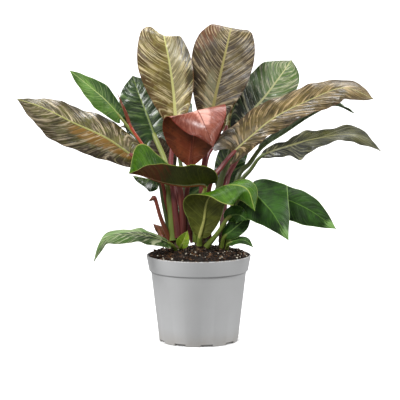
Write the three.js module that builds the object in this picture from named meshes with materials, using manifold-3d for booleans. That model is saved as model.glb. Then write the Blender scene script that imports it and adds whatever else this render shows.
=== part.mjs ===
// Imperial red philodendron growing in a grey plastic nursery pot.
// Millimetres, +Z up. The origin is the middle of the pot's underside and the front looks along -Y.
import * as THREE from 'three';
import { mergeVertices } from 'three/addons/utils/BufferGeometryUtils.js';
import Module from 'manifold-3d';

const wasm = await Module();
wasm.setup();

// Clearance between two pieces that touch
const GAP = 0.3;

// Pot: a 17 cm nursery pot with a stepped rim band
const POT_HEIGHT = 141;
const RIM_RADIUS = 85;
const BAND_HEIGHT = 27;
const BAND_FOOT_RADIUS = 81;
const WALL_TOP_RADIUS = 77.5;
const FOOT_RADIUS = 64.5;
const WALL = 1.8;
const RIM_ROUNDING = 0.8;
const FLOOR_RISE = 3;
const FLOOR = 2;
const HUB_RADIUS = 20;
const FOOT_RING_WIDTH = 9;
const SLOT_COUNT = 9;
const SLOT_WIDTH = 20;
const SLOT_HEIGHT = 4;
const SLOT_LENGTH = 21.6;
const FIRST_SLOT_TURN = -78;
const DRAIN_COUNT = 6;
const DRAIN_RADIUS = 4.5;
const DRAIN_CIRCLE = 38;
const POT_SIDES = 32;

// Soil: nearly level with the rim, heaped a little in the middle
const SOIL_RISE = 1;
const SOIL_EDGE_DROP = 4;
const SOIL_HEAP = 7;
const SOIL_LUMP = 1.6;
const SOIL_SIDES = 26;
const SOIL_RINGS = [16, 28, 40, 51, 62, 71];

// Crowns: the short stems that the leaf stalks clasp
const CROWN_RADIUS = 10;
const CROWN_TOP_RADIUS = 5;
const CROWN_DEPTH = 45;
const CROWNS = {
  left: { at: [-34, 2], height: 40 },
  middle: { at: [4, 0], height: 38 },
  right: { at: [40, 8], height: 30 },
  back: { at: [2, 42], height: 36 },
};
const CROWN_SIDES = 10;
const CROWN_LEVELS = 5;
const LEAF_SCAR = 0.4;

// Share of a stalk's radius that stands clear of its crown, and how much wider its sheath is
const CLASP = 0.55;
const SHEATH_FLARE = 0.25;

// Leaves
const BLADE_THICKNESS = 1;
const STALK_SIDES = 6;
const LARGE_BLADE = { over: 34, rows: 12, columns: 3 };
const SMALL_BLADE = { rows: 8, columns: 2 };
const TIP_HALF_WIDTH = 0.7;
const TIP_ROUNDNESS = 1.15;
const RIB_TAPER = 0.8;
const RIB_MOST = 0.3;
const RIPPLE_OFFSET = 0.3;
const LOBE_START = 0.3;
const FUSED_SINK = 2.6;
const EVEN = [[1, 1], [1, 1]];
const NO_BUMP = [0, 0, 1, 0];

const TONES = {
  bronze: { blade: 0x6b5a3c, stalk: 0x6a2f30 },
  darkBronze: { blade: 0x57483a, stalk: 0x5b2430 },
  green: { blade: 0x3c7a2e, stalk: 0x7c8442 },
  bright: { blade: 0x5d9c32, stalk: 0x8a8f4a },
  dark: { blade: 0x23401f, stalk: 0x55592f },
  red: { blade: 0xa3432f, stalk: 0x6b2533 },
  lime: { blade: 0x8db83a, stalk: 0x8db83a },
  dry: { blade: 0x6b4430, stalk: 0x93413a },
};

// Each leaf is placed by points on its stalk and on its midrib, from base to tip.
// turn and lift say where the stalk clasps its crown, and stalk is its radius at the crown and at the blade.
// up lists the way the upper face looks, foot to tip, and half is the width of one half of the blade.
// shape is [width at the foot, how soon it widens, how late it narrows].
// lobe is how far the foot hangs back.
// fold lists the angles of the left and the right half to the flat, foot to tip.
// curl is how far each half rolls.
// wave is [height, count] of the ripples along the margin.
// lean lists the share of the width that the left and the right half keep, foot to tip.
// bump widens one half for a stretch: [0 for left or 1 for right, where, how long, by what share].
const LEAVES = [
  {
    name: 'tall_left', tone: 'bronze', crown: 'left', turn: 275, lift: 22, stalk: [5, 3.4],
    path: [[-40, -8, 235], [-45, 6, 292]],
    rib: [[-38, 18, 349], [-40, 24, 398], [-47, 30, 450], [-56, 46, 492], [-57, 88, 487]],
    up: [[0, -1, 0], [0, -1, 0.2], [0.35, -0.4, 1]],
    half: 76, shape: [0.12, 1.9, 3.4], fold: [[1, 37], [8, -3]], curl: [8, 8], wave: [1.5, 2.5], lobe: 8,
    lean: [[1.06, 1.16], [0.97, 0.3]],
  },
  {
    name: 'tall_right', tone: 'darkBronze', crown: 'middle', turn: 100, lift: 20, stalk: [5, 3.4],
    path: [[4, 18, 230], [9, 22, 290]],
    rib: [[18, 24, 346], [26, 26, 391], [36, 30, 434], [46, 40, 477], [54, 60, 506], [60, 98, 493]],
    up: [[0, -1, 0], [0, -1, 0.2], [0, -0.4, 1]],
    half: 78, shape: [0.14, 1.9, 2.8], fold: [[6, 12], [-4, -4]], curl: [6, 6], wave: [1.5, 2.5], lobe: 8,
    lean: [[1, 1], [1.1, 0.95]],
  },
  {
    name: 'new_red', tone: 'red', crown: 'left', turn: 5, lift: 26, stalk: [5, 3.2],
    path: [[-20, 0, 235]],
    rib: [[-14, -8, 286], [-10, -14, 332], [-4, -32, 377], [11, -56, 353], [23, -57, 321]],
    up: [[0, 1, 0], [0, 1, 0.3], [-0.12, -0.1, 1], [-0.1, -1, 0.5], [0, -1, 0.1]],
    half: 70, shape: [0.08, 3, 2.75], fold: [[4, 4], [-4, -9]], curl: [-6, -6], wave: [2, 2], lobe: 0,
    lean: [[1, 1.25], [0.92, 0.62]],
  },
  {
    name: 'far_left', tone: 'bronze', crown: 'left', turn: 320, lift: 14, stalk: [5, 3.4],
    path: [[-27, -14, 225], [-35, -20, 263], [-62, -20, 283]],
    rib: [[-104, -12, 302], [-150, -16, 333], [-202, -22, 358], [-249, -28, 382], [-289, -34, 396]],
    up: [[0, -0.8, 0.6], [0, -0.8, 0.6]],
    half: 54, shape: [0.5, 5, 3.2], fold: [[-4, -14], [-4, -26]], curl: [-55, -14], wave: [3, 3], lobe: 12,
    lean: [[0.64, 1], [1.15, 1]],
  },
  {
    name: 'upper_left', tone: 'green', crown: 'left', turn: 145, lift: 22, stalk: [3.2, 2.2],
    path: [[-64, 16, 268], [-86, 24, 310]],
    rib: [[-126, 25, 361], [-151, 15, 391], [-178, 10, 415], [-208, 2, 440]],
    up: [[0, -0.7, 0.7], [0, -0.7, 0.7]],
    half: 27, shape: [0.4, 4, 3.2], fold: [[4, 4], [4, 4]], curl: [-15, -15], wave: [1.5, 2], lobe: 5,
  },
  {
    name: 'behind_left', tone: 'dark', crown: 'left', turn: 228, lift: 17, stalk: [5, 3.8],
    path: [[-48, 0, 236], [-54, 20, 288]],
    rib: [[-70, 40, 326], [-86, 52, 368], [-100, 66, 402], [-109, 80, 428]],
    up: [[0, -0.9, 0.4], [0, -0.9, 0.4]],
    half: 44, shape: [0.8, 4, 3.5], fold: [[5, 10], [5, 10]], curl: [-10, -10], wave: [2, 2.5], lobe: 32,
  },
  {
    name: 'upper_right', tone: 'green', crown: 'back', turn: 15, lift: 18, stalk: [5.4, 3.8],
    path: [[31, 44, 240], [51, 46, 300]],
    rib: [[67, 50, 341], [90, 60, 372], [113, 72, 398], [137, 88, 429], [155, 110, 452]],
    up: [[-0.1, -0.9, 0.4], [-0.1, -0.9, 0.4]],
    half: 48, shape: [0.3, 3, 5], fold: [[8, 12], [8, 6]], curl: [6, 10], wave: [2.5, 3], lobe: 8,
  },
  {
    name: 'far_right', tone: 'bronze', crown: 'middle', turn: 350, lift: 18, stalk: [5.4, 3],
    path: [[16, -10, 250], [38, -8, 286]],
    rib: [[56, -4, 307], [86, 2, 334], [124, 8, 364], [178, 10, 391], [234, 10, 411], [282, 2, 394]],
    up: [[-0.2, -0.9, 0.4], [-0.3, -0.8, 0.7], [-0.2, -0.4, 0.9]],
    half: 42, shape: [0.88, 5, 9], fold: [[-2, -6], [6, -6]], curl: [-25, -30], wave: [3, 3.5], lobe: 18,
    lean: [[1.2, 0.36], [0.75, 0.75]],
  },
  {
    name: 'edge_right', tone: 'dark', crown: 'right', turn: 20, lift: 14, stalk: [5, 3.6],
    path: [[62, 17, 260], [83, 24, 288]],
    rib: [[105, 30, 316], [141, 34, 339], [183, 36, 366], [221, 36, 382], [254, 33, 369]],
    up: [[-0.3, 0.1, 1], [-0.3, 0.1, 1]],
    half: 31, shape: [0.35, 3.5, 3.2], fold: [[14, 14], [14, 14]], curl: [10, 10], wave: [2, 3], lobe: 8,
  },
  {
    name: 'low_far_right', tone: 'dark', crown: 'right', turn: 345, lift: 8, stalk: [4.8, 2.7],
    path: [[62, 2, 246], [85, 0, 281]],
    rib: [[103, -6, 303], [144, -12, 319], [187, -18, 331], [245, -27, 338], [291, -34, 313]],
    up: [[-0.2, -0.3, 1], [0, -0.5, 0.9]],
    half: 23, shape: [0.25, 3.5, 9], fold: [[20, -40], [0, 10]], curl: [10, -20], wave: [3, 3], lobe: 2,
    lean: [[1, 1], [0.92, 0.6]], bump: [1, 0.34, 0.08, 1.15],
  },
  {
    name: 'low_right', tone: 'green', crown: 'right', turn: 60, lift: 4, stalk: [3.8, 2.6],
    path: [[62, 24, 205], [84, 26, 230]],
    rib: [[108, 24, 236], [144, 20, 228], [182, 14, 211], [224, 6, 182]],
    up: [[0.1, -0.8, 0.6], [0.1, -0.8, 0.6]],
    half: 35, shape: [0.45, 5, 4.2], fold: [[-5, -5], [-5, -5]], curl: [-15, -10], wave: [1.5, 2], lobe: 8,
  },
  {
    name: 'front_right', tone: 'green', crown: 'right', turn: 315, lift: 10, stalk: [4, 3],
    path: [[58, -6, 206], [68, -14, 238]],
    rib: [[80, -28, 254], [98, -46, 237], [119, -58, 214], [143, -68, 173]],
    up: [[0.3, -0.7, 0.6], [0.4, -0.9, 0.3]],
    half: 56, shape: [0.6, 5, 2.6], fold: [[4, -42], [0, -38]], curl: [-10, -15], wave: [1.5, 2], lobe: 7,
    lean: [[0.9, 0.8], [1, 0.8]], bump: [0, 0.33, 0.2, 0.3],
  },
  {
    name: 'front_bright', tone: 'bright', crown: 'middle', turn: 255, lift: 8, stalk: [4.2, 3.8],
    path: [],
    rib: [[2, -16, 171], [9, -23, 201], [15, -33, 238], [42, -50, 259], [76, -68, 256], [89, -80, 222]],
    up: [[0.1, 1, 0.2], [0, 0.8, 0.5], [-0.2, 0.2, 1], [-0.1, -0.5, 0.9], [0.1, -0.8, 0.6]],
    half: 44, shape: [0.2, 3, 4.2], fold: [[-6, 28], [-10, -42]], curl: [5, -10], wave: [1.5, 2], lobe: 0,
    lean: [[1, 1.1], [0.7, 1.2]],
  },
  {
    name: 'front_left', tone: 'bright', crown: 'middle', turn: 205, lift: 12, stalk: [3.8, 3],
    path: [[-4, -16, 215]],
    rib: [[10, -30, 255], [-25, -42, 258], [-62, -54, 266], [-90, -75, 278], [-109, -103, 284]],
    up: [[0, 0, 1], [0, 0, 1]],
    half: 46, shape: [0.5, 5, 5], fold: [[62, 75], [60, 75]], curl: [5, 10], wave: [2, 2], lobe: 6,
    lean: [[1.15, 0.4], [0.35, 1]], bump: [1, 0.8, 0.2, 0.9],
  },
  {
    name: 'under_left', tone: 'dark', crown: 'left', turn: 185, lift: 12, stalk: [3.4, 2.4],
    path: [[-57, -8, 224]],
    rib: [[-64, -16, 260], [-78, -24, 266], [-92, -32, 270], [-105, -38, 273]],
    up: [[0, -0.4, 0.9], [0, -0.4, 0.9]],
    half: 26, shape: [0.35, 4, 3], fold: [[-20, -20], [-20, -20]], curl: [-20, -20], wave: [1, 2], lobe: 5,
  },
  {
    name: 'low_left', tone: 'green', crown: 'left', turn: 254, lift: 2, stalk: [3, 3],
    path: [],
    rib: [[-46, -20, 161], [-79, -32, 175], [-113, -40, 179], [-151, -46, 170], [-168, -50, 136]],
    up: [[0, -0.4, 0.9], [0, -0.4, 0.9], [-0.9, -0.4, 0.4]],
    half: 25, shape: [0.6, 4, 3.6], fold: [[4, 4], [4, 4]], curl: [-20, -20], wave: [2, 3], lobe: 0,
  },
  {
    name: 'lime', tone: 'lime', crown: 'left', turn: 290, lift: 2, stalk: [2.4, 2.4],
    path: [],
    rib: [[-29, -19, 156], [-24, -25, 168], [-18, -28, 183]],
    up: [[0, -1, 0.2], [0, -1, 0.2]],
    half: 13, shape: [0.3, 4, 3], fold: [[15, 15], [15, 15]], curl: [10, 10], wave: [0.5, 1], lobe: 0,
  },
  {
    name: 'low_small', tone: 'green', crown: 'right', turn: 300, lift: 2, stalk: [2.6, 2.6],
    path: [],
    rib: [[48, -14, 160], [62, -22, 167], [76, -28, 167], [88, -32, 157]],
    up: [[0, -0.5, 0.9], [0, -0.5, 0.9]],
    half: 13, shape: [0.35, 4, 3], fold: [[5, 5], [5, 5]], curl: [-10, -10], wave: [0.5, 1], lobe: 0,
  },
  {
    name: 'shaded_right', tone: 'green', crown: 'middle', turn: 318, lift: 4, stalk: [4.2, 3],
    path: [[32, -18, 180]],
    rib: [[46, -28, 203], [57, -39, 211], [68, -45, 210], [77, -47, 203]],
    up: [[0, -1, 0.1], [0, -0.8, 0.5]],
    half: 18, shape: [0.4, 4, 2.8], fold: [[0, -10], [0, -10]], curl: [0, -10], wave: [1, 2], lobe: 3,
  },
  {
    name: 'middle_right', tone: 'green', crown: 'right', turn: 255, lift: 6, stalk: [3, 3],
    path: [],
    rib: [[41, -11, 170], [55, -19, 184], [71, -22, 198], [85, -24, 211]],
    up: [[0.1, -0.9, 0.5], [0.1, -0.9, 0.5]],
    half: 20, shape: [0.25, 3, 3.2], fold: [[5, 5], [5, 5]], curl: [-10, -10], wave: [1, 2], lobe: 0,
  },
  {
    name: 'spear', tone: 'red', crown: 'left', turn: 168, lift: 18, stalk: [3, 2.2],
    path: [[-61, -1, 266], [-85, 1, 311]],
    rib: [[-108, 3, 346], [-119, 4, 374], [-131, 6, 402]],
    up: [[0, -1, 0.3], [0, -1, 0.3]],
    half: 5, shape: [0.5, 4, 2], fold: [[40, 40], [40, 40]], curl: [20, 20], wave: [0, 1], lobe: 0,
  },
  {
    name: 'dry_stub', tone: 'dry', crown: 'left', turn: 195, lift: 13, stalk: [4, 3],
    path: [[-60, -16, 200]],
    rib: [[-69, -22, 232], [-73, -25, 237], [-80, -27, 232]],
    up: [[0, -0.8, 0.6], [0, -0.6, 0.8]],
    half: 7, shape: [0.5, 4, 3], fold: [[-10, -15], [-30, -20]], curl: [-30, -30], wave: [1.5, 2], lobe: 0,
  },
  {
    name: 'old_sheath', tone: 'dry', crown: 'left', turn: 195, lift: 2, stalk: [3, 3],
    path: [],
    rib: [[-56, 4, 162], [-64, 7, 182], [-74, 9, 190]],
    up: [[-0.4, -0.8, 0.6], [0, -0.8, 0.6]],
    half: 11, shape: [0.6, 4, 3], fold: [[-30, -30], [-30, -30]], curl: [-30, -30], wave: [1.5, 2], lobe: 0,
  },
  {
    name: 'back_tall_left', tone: 'dark', crown: 'back', turn: 140, lift: 16, stalk: [4.2, 3],
    path: [[-25, 66, 255]],
    rib: [[-38, 85, 330], [-45, 110, 376], [-52, 142, 405], [-58, 180, 402]],
    up: [[0, -0.6, 0.8], [0, 0, 1], [0, 0.6, 0.9]],
    half: 44, shape: [0.4, 4, 3.4], fold: [[-6, -6], [-6, -6]], curl: [-20, -20], wave: [2, 3], lobe: 8,
  },
  {
    name: 'back_tall_right', tone: 'bronze', crown: 'back', turn: 60, lift: 22, stalk: [4.2, 3],
    path: [[9, 64, 240], [15, 76, 295]],
    rib: [[44, 90, 335], [52, 112, 380], [60, 144, 404], [66, 184, 394]],
    up: [[0, -0.6, 0.8], [0, 0, 1], [0, 0.6, 0.9]],
    half: 44, shape: [0.4, 4, 3.4], fold: [[-6, -6], [-6, -6]], curl: [-20, -20], wave: [2, 3], lobe: 8,
  },
  {
    name: 'back_middle', tone: 'dark', crown: 'back', turn: 105, lift: 4, stalk: [4, 2.8],
    path: [[-13, 72, 172]],
    rib: [[-16, 82, 198], [-19, 94, 226], [-24, 112, 254], [-32, 144, 268], [-38, 178, 260]],
    up: [[0, -1, 0.2], [0, -0.8, 0.6], [0, 0.1, 1]],
    half: 44, shape: [0.4, 4, 3], fold: [[-5, -5], [-5, -5]], curl: [-20, -20], wave: [2, 2.5], lobe: 8,
  },
  {
    name: 'back_low', tone: 'dark', crown: 'back', turn: 20, lift: 4, stalk: [3.6, 2.6],
    path: [[27, 61, 205]],
    rib: [[41, 70, 246], [49, 78, 273], [59, 92, 300], [76, 122, 317], [94, 152, 310]],
    up: [[0, -1, 0.2], [0, -1, 0.3], [0, -0.3, 1]],
    half: 30, shape: [0.4, 4, 2.8], fold: [[-5, -5], [-5, -5]], curl: [-15, -15], wave: [1.5, 2], lobe: 8,
  },
  {
    name: 'back_left', tone: 'darkBronze', crown: 'back', turn: 180, lift: 8, stalk: [4, 2.8],
    path: [[-36, 58, 232]],
    rib: [[-52, 68, 276], [-61, 79, 304], [-78, 100, 330], [-108, 130, 345], [-142, 156, 334]],
    up: [[0, -1, 0.2], [0, -0.9, 0.4], [0, -0.2, 1]],
    half: 32, shape: [0.4, 4, 3], fold: [[-5, -5], [-5, -5]], curl: [-20, -20], wave: [2, 2.5], lobe: 8,
  },
  {
    name: 'back_right', tone: 'bronze', crown: 'right', turn: 100, lift: 12, stalk: [5, 3.6],
    path: [[45, 46, 250], [60, 60, 285]],
    rib: [[92, 82, 335], [125, 106, 365], [155, 130, 380], [190, 152, 374]],
    up: [[0, -0.2, 1], [0.2, 0.2, 1]],
    half: 38, shape: [0.4, 4, 3], fold: [[-5, -5], [-5, -5]], curl: [-20, -20], wave: [2, 2.5], lobe: 8,
  },
];

const radians = THREE.MathUtils.degToRad;
const toVector = (point) => new THREE.Vector3(...point);

function soilHeight(x, y) {
  const reach = Math.hypot(x, y) / WALL_TOP_RADIUS;
  const heap = SOIL_HEAP * Math.max(0, 1 - reach * reach);
  const lumps = Math.sin(x * 0.31 + 1.3) * Math.cos(y * 0.27) + 0.6 * Math.sin(x * 0.13 - y * 0.47);
  return POT_HEIGHT + SOIL_RISE + heap + SOIL_LUMP * lumps;
}

function closedGeometry(points, triangles) {
  const geometry = new THREE.BufferGeometry();
  geometry.setAttribute('position', new THREE.Float32BufferAttribute(points.flatMap((p) => p.toArray()), 3));
  geometry.setIndex(triangles);
  return geometry;
}

function toSolid(geometry) {
  const bare = geometry.clone();
  bare.deleteAttribute('normal');
  bare.deleteAttribute('uv');
  const merged = mergeVertices(bare, 1e-4);
  const vertProperties = new Float32Array(merged.attributes.position.array);
  const triVerts = new Uint32Array(merged.index.array);
  return new wasm.Manifold(new wasm.Mesh({ numProp: 3, vertProperties, triVerts }));
}

// The largest piece alone, so that no loose scrap is left by a cut
function fromSolid(solid) {
  const pieces = solid.decompose();
  pieces.sort((a, b) => b.volume() - a.volume());
  const mesh = pieces[0].getMesh();
  const geometry = new THREE.BufferGeometry();
  geometry.setAttribute('position', new THREE.BufferAttribute(new Float32Array(mesh.vertProperties), 3));
  geometry.setIndex(new THREE.BufferAttribute(new Uint32Array(mesh.triVerts), 1));
  return geometry;
}

// A body through rings of equal length, closed by a fan at each end
function loftGeometry(rings) {
  const sides = rings[0].length;
  const points = rings.flat();
  const triangles = [];
  for (let i = 0; i < rings.length - 1; i += 1) {
    for (let j = 0; j < sides; j += 1) {
      const a = i * sides + j;
      const b = i * sides + (j + 1) % sides;
      triangles.push(a, b, b + sides, a, b + sides, a + sides);
    }
  }
  const last = (rings.length - 1) * sides;
  for (let j = 1; j < sides - 1; j += 1) {
    triangles.push(0, j + 1, j);
    triangles.push(last, last + j, last + j + 1);
  }
  return closedGeometry(points, triangles);
}

// Lathe about +Z from [radius, height] points that start and end on the axis
function turned(profile, sides) {
  const outline = profile.map(([radius, height]) => new THREE.Vector2(radius, height));
  const geometry = new THREE.LatheGeometry(outline, sides);
  geometry.rotateX(Math.PI / 2);
  return geometry;
}

function potGeometry() {
  const bandFoot = POT_HEIGHT - BAND_HEIGHT;
  const slope = (WALL_TOP_RADIUS - FOOT_RADIUS) / bandFoot;
  const ringInner = FOOT_RADIUS - FOOT_RING_WIDTH;
  const floorTop = FLOOR_RISE + FLOOR;
  const profile = [
    [0, 0],
    [HUB_RADIUS, 0],
    [HUB_RADIUS + 2, FLOOR_RISE],
    [ringInner - 1, FLOOR_RISE],
    [ringInner, 0],
    [FOOT_RADIUS - 1, 0],
    [FOOT_RADIUS, 1],
    [WALL_TOP_RADIUS, bandFoot],
    [BAND_FOOT_RADIUS - 1, bandFoot + 1.5],
    [BAND_FOOT_RADIUS, bandFoot + 3],
    [RIM_RADIUS - RIM_ROUNDING, POT_HEIGHT - 2.5],
    [RIM_RADIUS, POT_HEIGHT - 1],
    [RIM_RADIUS - RIM_ROUNDING, POT_HEIGHT],
    [RIM_RADIUS - WALL - 0.6, POT_HEIGHT],
    [RIM_RADIUS - WALL - 1, POT_HEIGHT - 1.5],
    [BAND_FOOT_RADIUS - WALL, bandFoot + 4],
    [WALL_TOP_RADIUS - WALL, bandFoot],
    [FOOT_RADIUS - WALL + floorTop * slope, floorTop + 1],
    [FOOT_RADIUS - WALL - 1, floorTop],
    [HUB_RADIUS + 1, floorTop],
    [HUB_RADIUS - 1, FLOOR],
    [0, FLOOR],
  ];
  let pot = toSolid(turned(profile, POT_SIDES));
  for (let i = 0; i < SLOT_COUNT; i += 1) {
    const slot = new THREE.BoxGeometry(SLOT_LENGTH, SLOT_WIDTH, SLOT_HEIGHT * 2);
    slot.translate(FOOT_RADIUS, 0, 0);
    slot.rotateZ(radians(FIRST_SLOT_TURN + (360 / SLOT_COUNT) * i));
    pot = pot.subtract(toSolid(slot));
  }
  for (let i = 0; i < DRAIN_COUNT; i += 1) {
    const drain = new THREE.CylinderGeometry(DRAIN_RADIUS, DRAIN_RADIUS, floorTop * 3, 12);
    drain.rotateX(Math.PI / 2);
    drain.translate(DRAIN_CIRCLE, 0, 0);
    drain.rotateZ(radians((360 / DRAIN_COUNT) * i));
    pot = pot.subtract(toSolid(drain));
  }
  return fromSolid(pot);
}

function ringAt(radius, height) {
  const ring = [];
  for (let j = 0; j < SOIL_SIDES; j += 1) {
    const angle = (2 * Math.PI * j) / SOIL_SIDES;
    const x = radius * Math.cos(angle);
    const y = radius * Math.sin(angle);
    ring.push(new THREE.Vector3(x, y, height ?? soilHeight(x, y)));
  }
  return ring;
}

// The potting mix fills the pot and its top is a lumpy heap
function soilGeometry(cutters) {
  const bandFoot = POT_HEIGHT - BAND_HEIGHT;
  const floorTop = FLOOR_RISE + FLOOR;
  const inset = WALL + 2 * GAP;
  const top = SOIL_RINGS.slice().reverse();
  const edge = BAND_FOOT_RADIUS - inset + 1.5;
  const rings = [
    ringAt(FOOT_RADIUS - inset - 1.5, floorTop + GAP),
    ringAt(FOOT_RADIUS - inset, floorTop + 3),
    ringAt(WALL_TOP_RADIUS - inset - 0.2, bandFoot),
    ringAt(BAND_FOOT_RADIUS - inset - 0.2, bandFoot + 5),
    ringAt(edge, POT_HEIGHT - SOIL_EDGE_DROP),
    ...top.map((radius) => ringAt(radius)),
  ];
  let soil = toSolid(loftGeometry(rings));
  for (const cutter of cutters) {
    soil = soil.subtract(cutter);
  }
  return fromSolid(soil);
}

function crownRadius(share) {
  return THREE.MathUtils.lerp(CROWN_RADIUS, CROWN_TOP_RADIUS, share ** 3);
}

// A short ringed stem, wider where the old stalks have left their scars
function crownGeometry(crown, grow = 0) {
  const [x, y] = crown.at;
  const ground = POT_HEIGHT + SOIL_RISE + SOIL_HEAP / 2;
  const rings = [];
  for (let i = 0; i <= CROWN_LEVELS; i += 1) {
    const t = i / CROWN_LEVELS;
    const scar = i % 2 === 0 ? LEAF_SCAR : -LEAF_SCAR;
    const radius = crownRadius(t) + scar + grow;
    const low = ground - CROWN_DEPTH - grow;
    const high = ground + crown.height + grow;
    rings.push(circle(new THREE.Vector3(x, y, THREE.MathUtils.lerp(low, high, t)), radius, CROWN_SIDES));
  }
  return loftGeometry(rings);
}

function circle(centre, radius, sides) {
  const ring = [];
  for (let j = 0; j < sides; j += 1) {
    const angle = (2 * Math.PI * j) / sides;
    const offset = new THREE.Vector3(radius * Math.cos(angle), radius * Math.sin(angle), 0);
    ring.push(offset.add(centre));
  }
  return ring;
}

// Where a stalk leaves its crown
function stalkRoot(leaf) {
  const { at, height } = CROWNS[leaf.crown];
  const [x, y] = at;
  const share = (CROWN_DEPTH + leaf.lift) / (CROWN_DEPTH + height);
  const reach = crownRadius(share) + leaf.stalk[0] * CLASP;
  const turn = radians(leaf.turn);
  const ground = soilHeight(x, y);
  return [x + reach * Math.cos(turn), y + reach * Math.sin(turn), ground + leaf.lift];
}

// One smooth curve runs through the stalk and on along the midrib
function leafCurve(leaf) {
  const points = [stalkRoot(leaf), ...leaf.path, ...leaf.rib].map(toVector);
  return new THREE.CatmullRomCurve3(points, false, 'catmullrom', 0.5);
}

function isStalkless(leaf) {
  return leaf.path.length === 0;
}

function stalkShare(leaf) {
  return (leaf.path.length + 1) / (leaf.path.length + leaf.rib.length);
}

function mixList(list, t) {
  const place = t * (list.length - 1);
  const index = Math.min(Math.floor(place), list.length - 2);
  return toVector(list[index]).lerp(toVector(list[index + 1]), place - index);
}

function bladeOutline(leaf, t) {
  const [foot, widen, narrow] = leaf.shape;
  const rise = foot + (1 - foot) * (1 - (1 - t) ** widen);
  return Math.max(leaf.half * rise * (1 - t ** narrow) ** TIP_ROUNDNESS, TIP_HALF_WIDTH);
}

function ribFrame(leaf, curve, t) {
  const share = stalkShare(leaf);
  const u = share + (1 - share) * t;
  const ahead = curve.getTangent(u);
  const side = ahead.clone().cross(mixList(leaf.up, t)).normalize();
  return { point: curve.getPoint(u), ahead, side, up: side.clone().cross(ahead) };
}

// A point of the blade's middle surface. t runs from foot to tip and s from the left margin to the right
function bladePoint(leaf, curve, t, s) {
  const frame = ribFrame(leaf, curve, t);
  const hand = s < 0 ? 0 : 1;
  const lean = leaf.lean ?? EVEN;
  const [bumpHand, bumpPlace, bumpSpan, bumpShare] = leaf.bump ?? NO_BUMP;
  const bump = bumpHand === hand ? 1 + bumpShare * Math.exp(-(((t - bumpPlace) / bumpSpan) ** 2)) : 1;
  const half = bladeOutline(leaf, t) * bump * THREE.MathUtils.lerp(lean[0][hand], lean[1][hand], t);
  const reach = Math.abs(s);
  const fold = radians(THREE.MathUtils.lerp(leaf.fold[0][hand], leaf.fold[1][hand], t));
  const curl = radians(leaf.curl[hand]) || 1e-4;
  const out = (half * (Math.sin(fold + curl * reach) - Math.sin(fold))) / curl;
  const lift = (half * (Math.cos(fold) - Math.cos(fold + curl * reach))) / curl;
  const [height, count] = leaf.wave;
  const swell = Math.sin(Math.PI * t) ** 0.5 || 0;
  const ripple = height * swell * reach * reach * Math.sin(2 * Math.PI * (count * t + RIPPLE_OFFSET * hand));
  const spread = Math.max(0, (reach - LOBE_START) / (1 - LOBE_START));
  const back = leaf.lobe * (1 - t) ** 5 * spread ** 1.5;
  return frame.point
    .addScaledVector(frame.side, Math.sign(s) * out)
    .addScaledVector(frame.up, lift + ripple)
    .addScaledVector(frame.ahead, -back);
}

function bladeNormal(leaf, curve, t, s) {
  const step = 0.01;
  const t0 = Math.max(0, t - step);
  const t1 = Math.min(1, t + step);
  const s0 = Math.max(-1, s - step);
  const s1 = Math.min(1, s + step);
  const along = bladePoint(leaf, curve, t1, s).sub(bladePoint(leaf, curve, t0, s));
  const across = bladePoint(leaf, curve, t, s1).sub(bladePoint(leaf, curve, t, s0));
  return across.cross(along).normalize();
}

// The blade is a thin sheet with a raised midrib that is stout at the foot and fades to the tip
function bladeGeometry(leaf) {
  const curve = leafCurve(leaf);
  const grid = leaf.half > LARGE_BLADE.over ? LARGE_BLADE : SMALL_BLADE;
  const rows = grid.rows;
  const columns = 2 * grid.columns + 3;
  const upper = [];
  const lower = [];
  for (let i = 0; i <= rows; i += 1) {
    const t = i / rows;
    const ribRadius = leaf.stalk[1] * (1 - RIB_TAPER * t);
    const edge = Math.min(RIB_MOST, ribRadius / bladeOutline(leaf, t));
    for (let j = 0; j < columns; j += 1) {
      const place = j - grid.columns - 1;
      const outward = Math.max(0, Math.abs(place) - 1) / grid.columns;
      const s = place === 0 ? 0 : Math.sign(place) * (edge + (1 - edge) * outward);
      const middle = bladePoint(leaf, curve, t, s);
      const normal = bladeNormal(leaf, curve, t, s);
      const ridge = place === 0 ? ribRadius : 0;
      const crest = ridge * (1 - t) ** 3;
      upper.push(middle.clone().addScaledVector(normal, BLADE_THICKNESS / 2 + crest));
      lower.push(middle.clone().addScaledVector(normal, -BLADE_THICKNESS / 2 - ridge));
    }
  }
  return sheetGeometry(upper, lower, rows, columns);
}

function sheetGeometry(upper, lower, rows, columns) {
  const count = upper.length;
  const triangles = [];
  for (let i = 0; i < rows; i += 1) {
    for (let j = 0; j < columns - 1; j += 1) {
      const a = i * columns + j;
      const b = a + 1;
      const c = b + columns;
      const d = a + columns;
      triangles.push(a, b, c, a, c, d);
      triangles.push(count + a, count + c, count + b, count + a, count + d, count + c);
    }
  }
  const rim = [];
  for (let j = 0; j < columns; j += 1) rim.push(j);
  for (let i = 1; i <= rows; i += 1) rim.push(i * columns + columns - 1);
  for (let j = columns - 2; j >= 0; j -= 1) rim.push(rows * columns + j);
  for (let i = rows - 1; i >= 1; i -= 1) rim.push(i * columns);
  for (let k = 0; k < rim.length; k += 1) {
    const a = rim[k];
    const b = rim[(k + 1) % rim.length];
    triangles.push(a, count + a, count + b, a, count + b, b);
  }
  return closedGeometry(upper.concat(lower), triangles);
}

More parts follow.
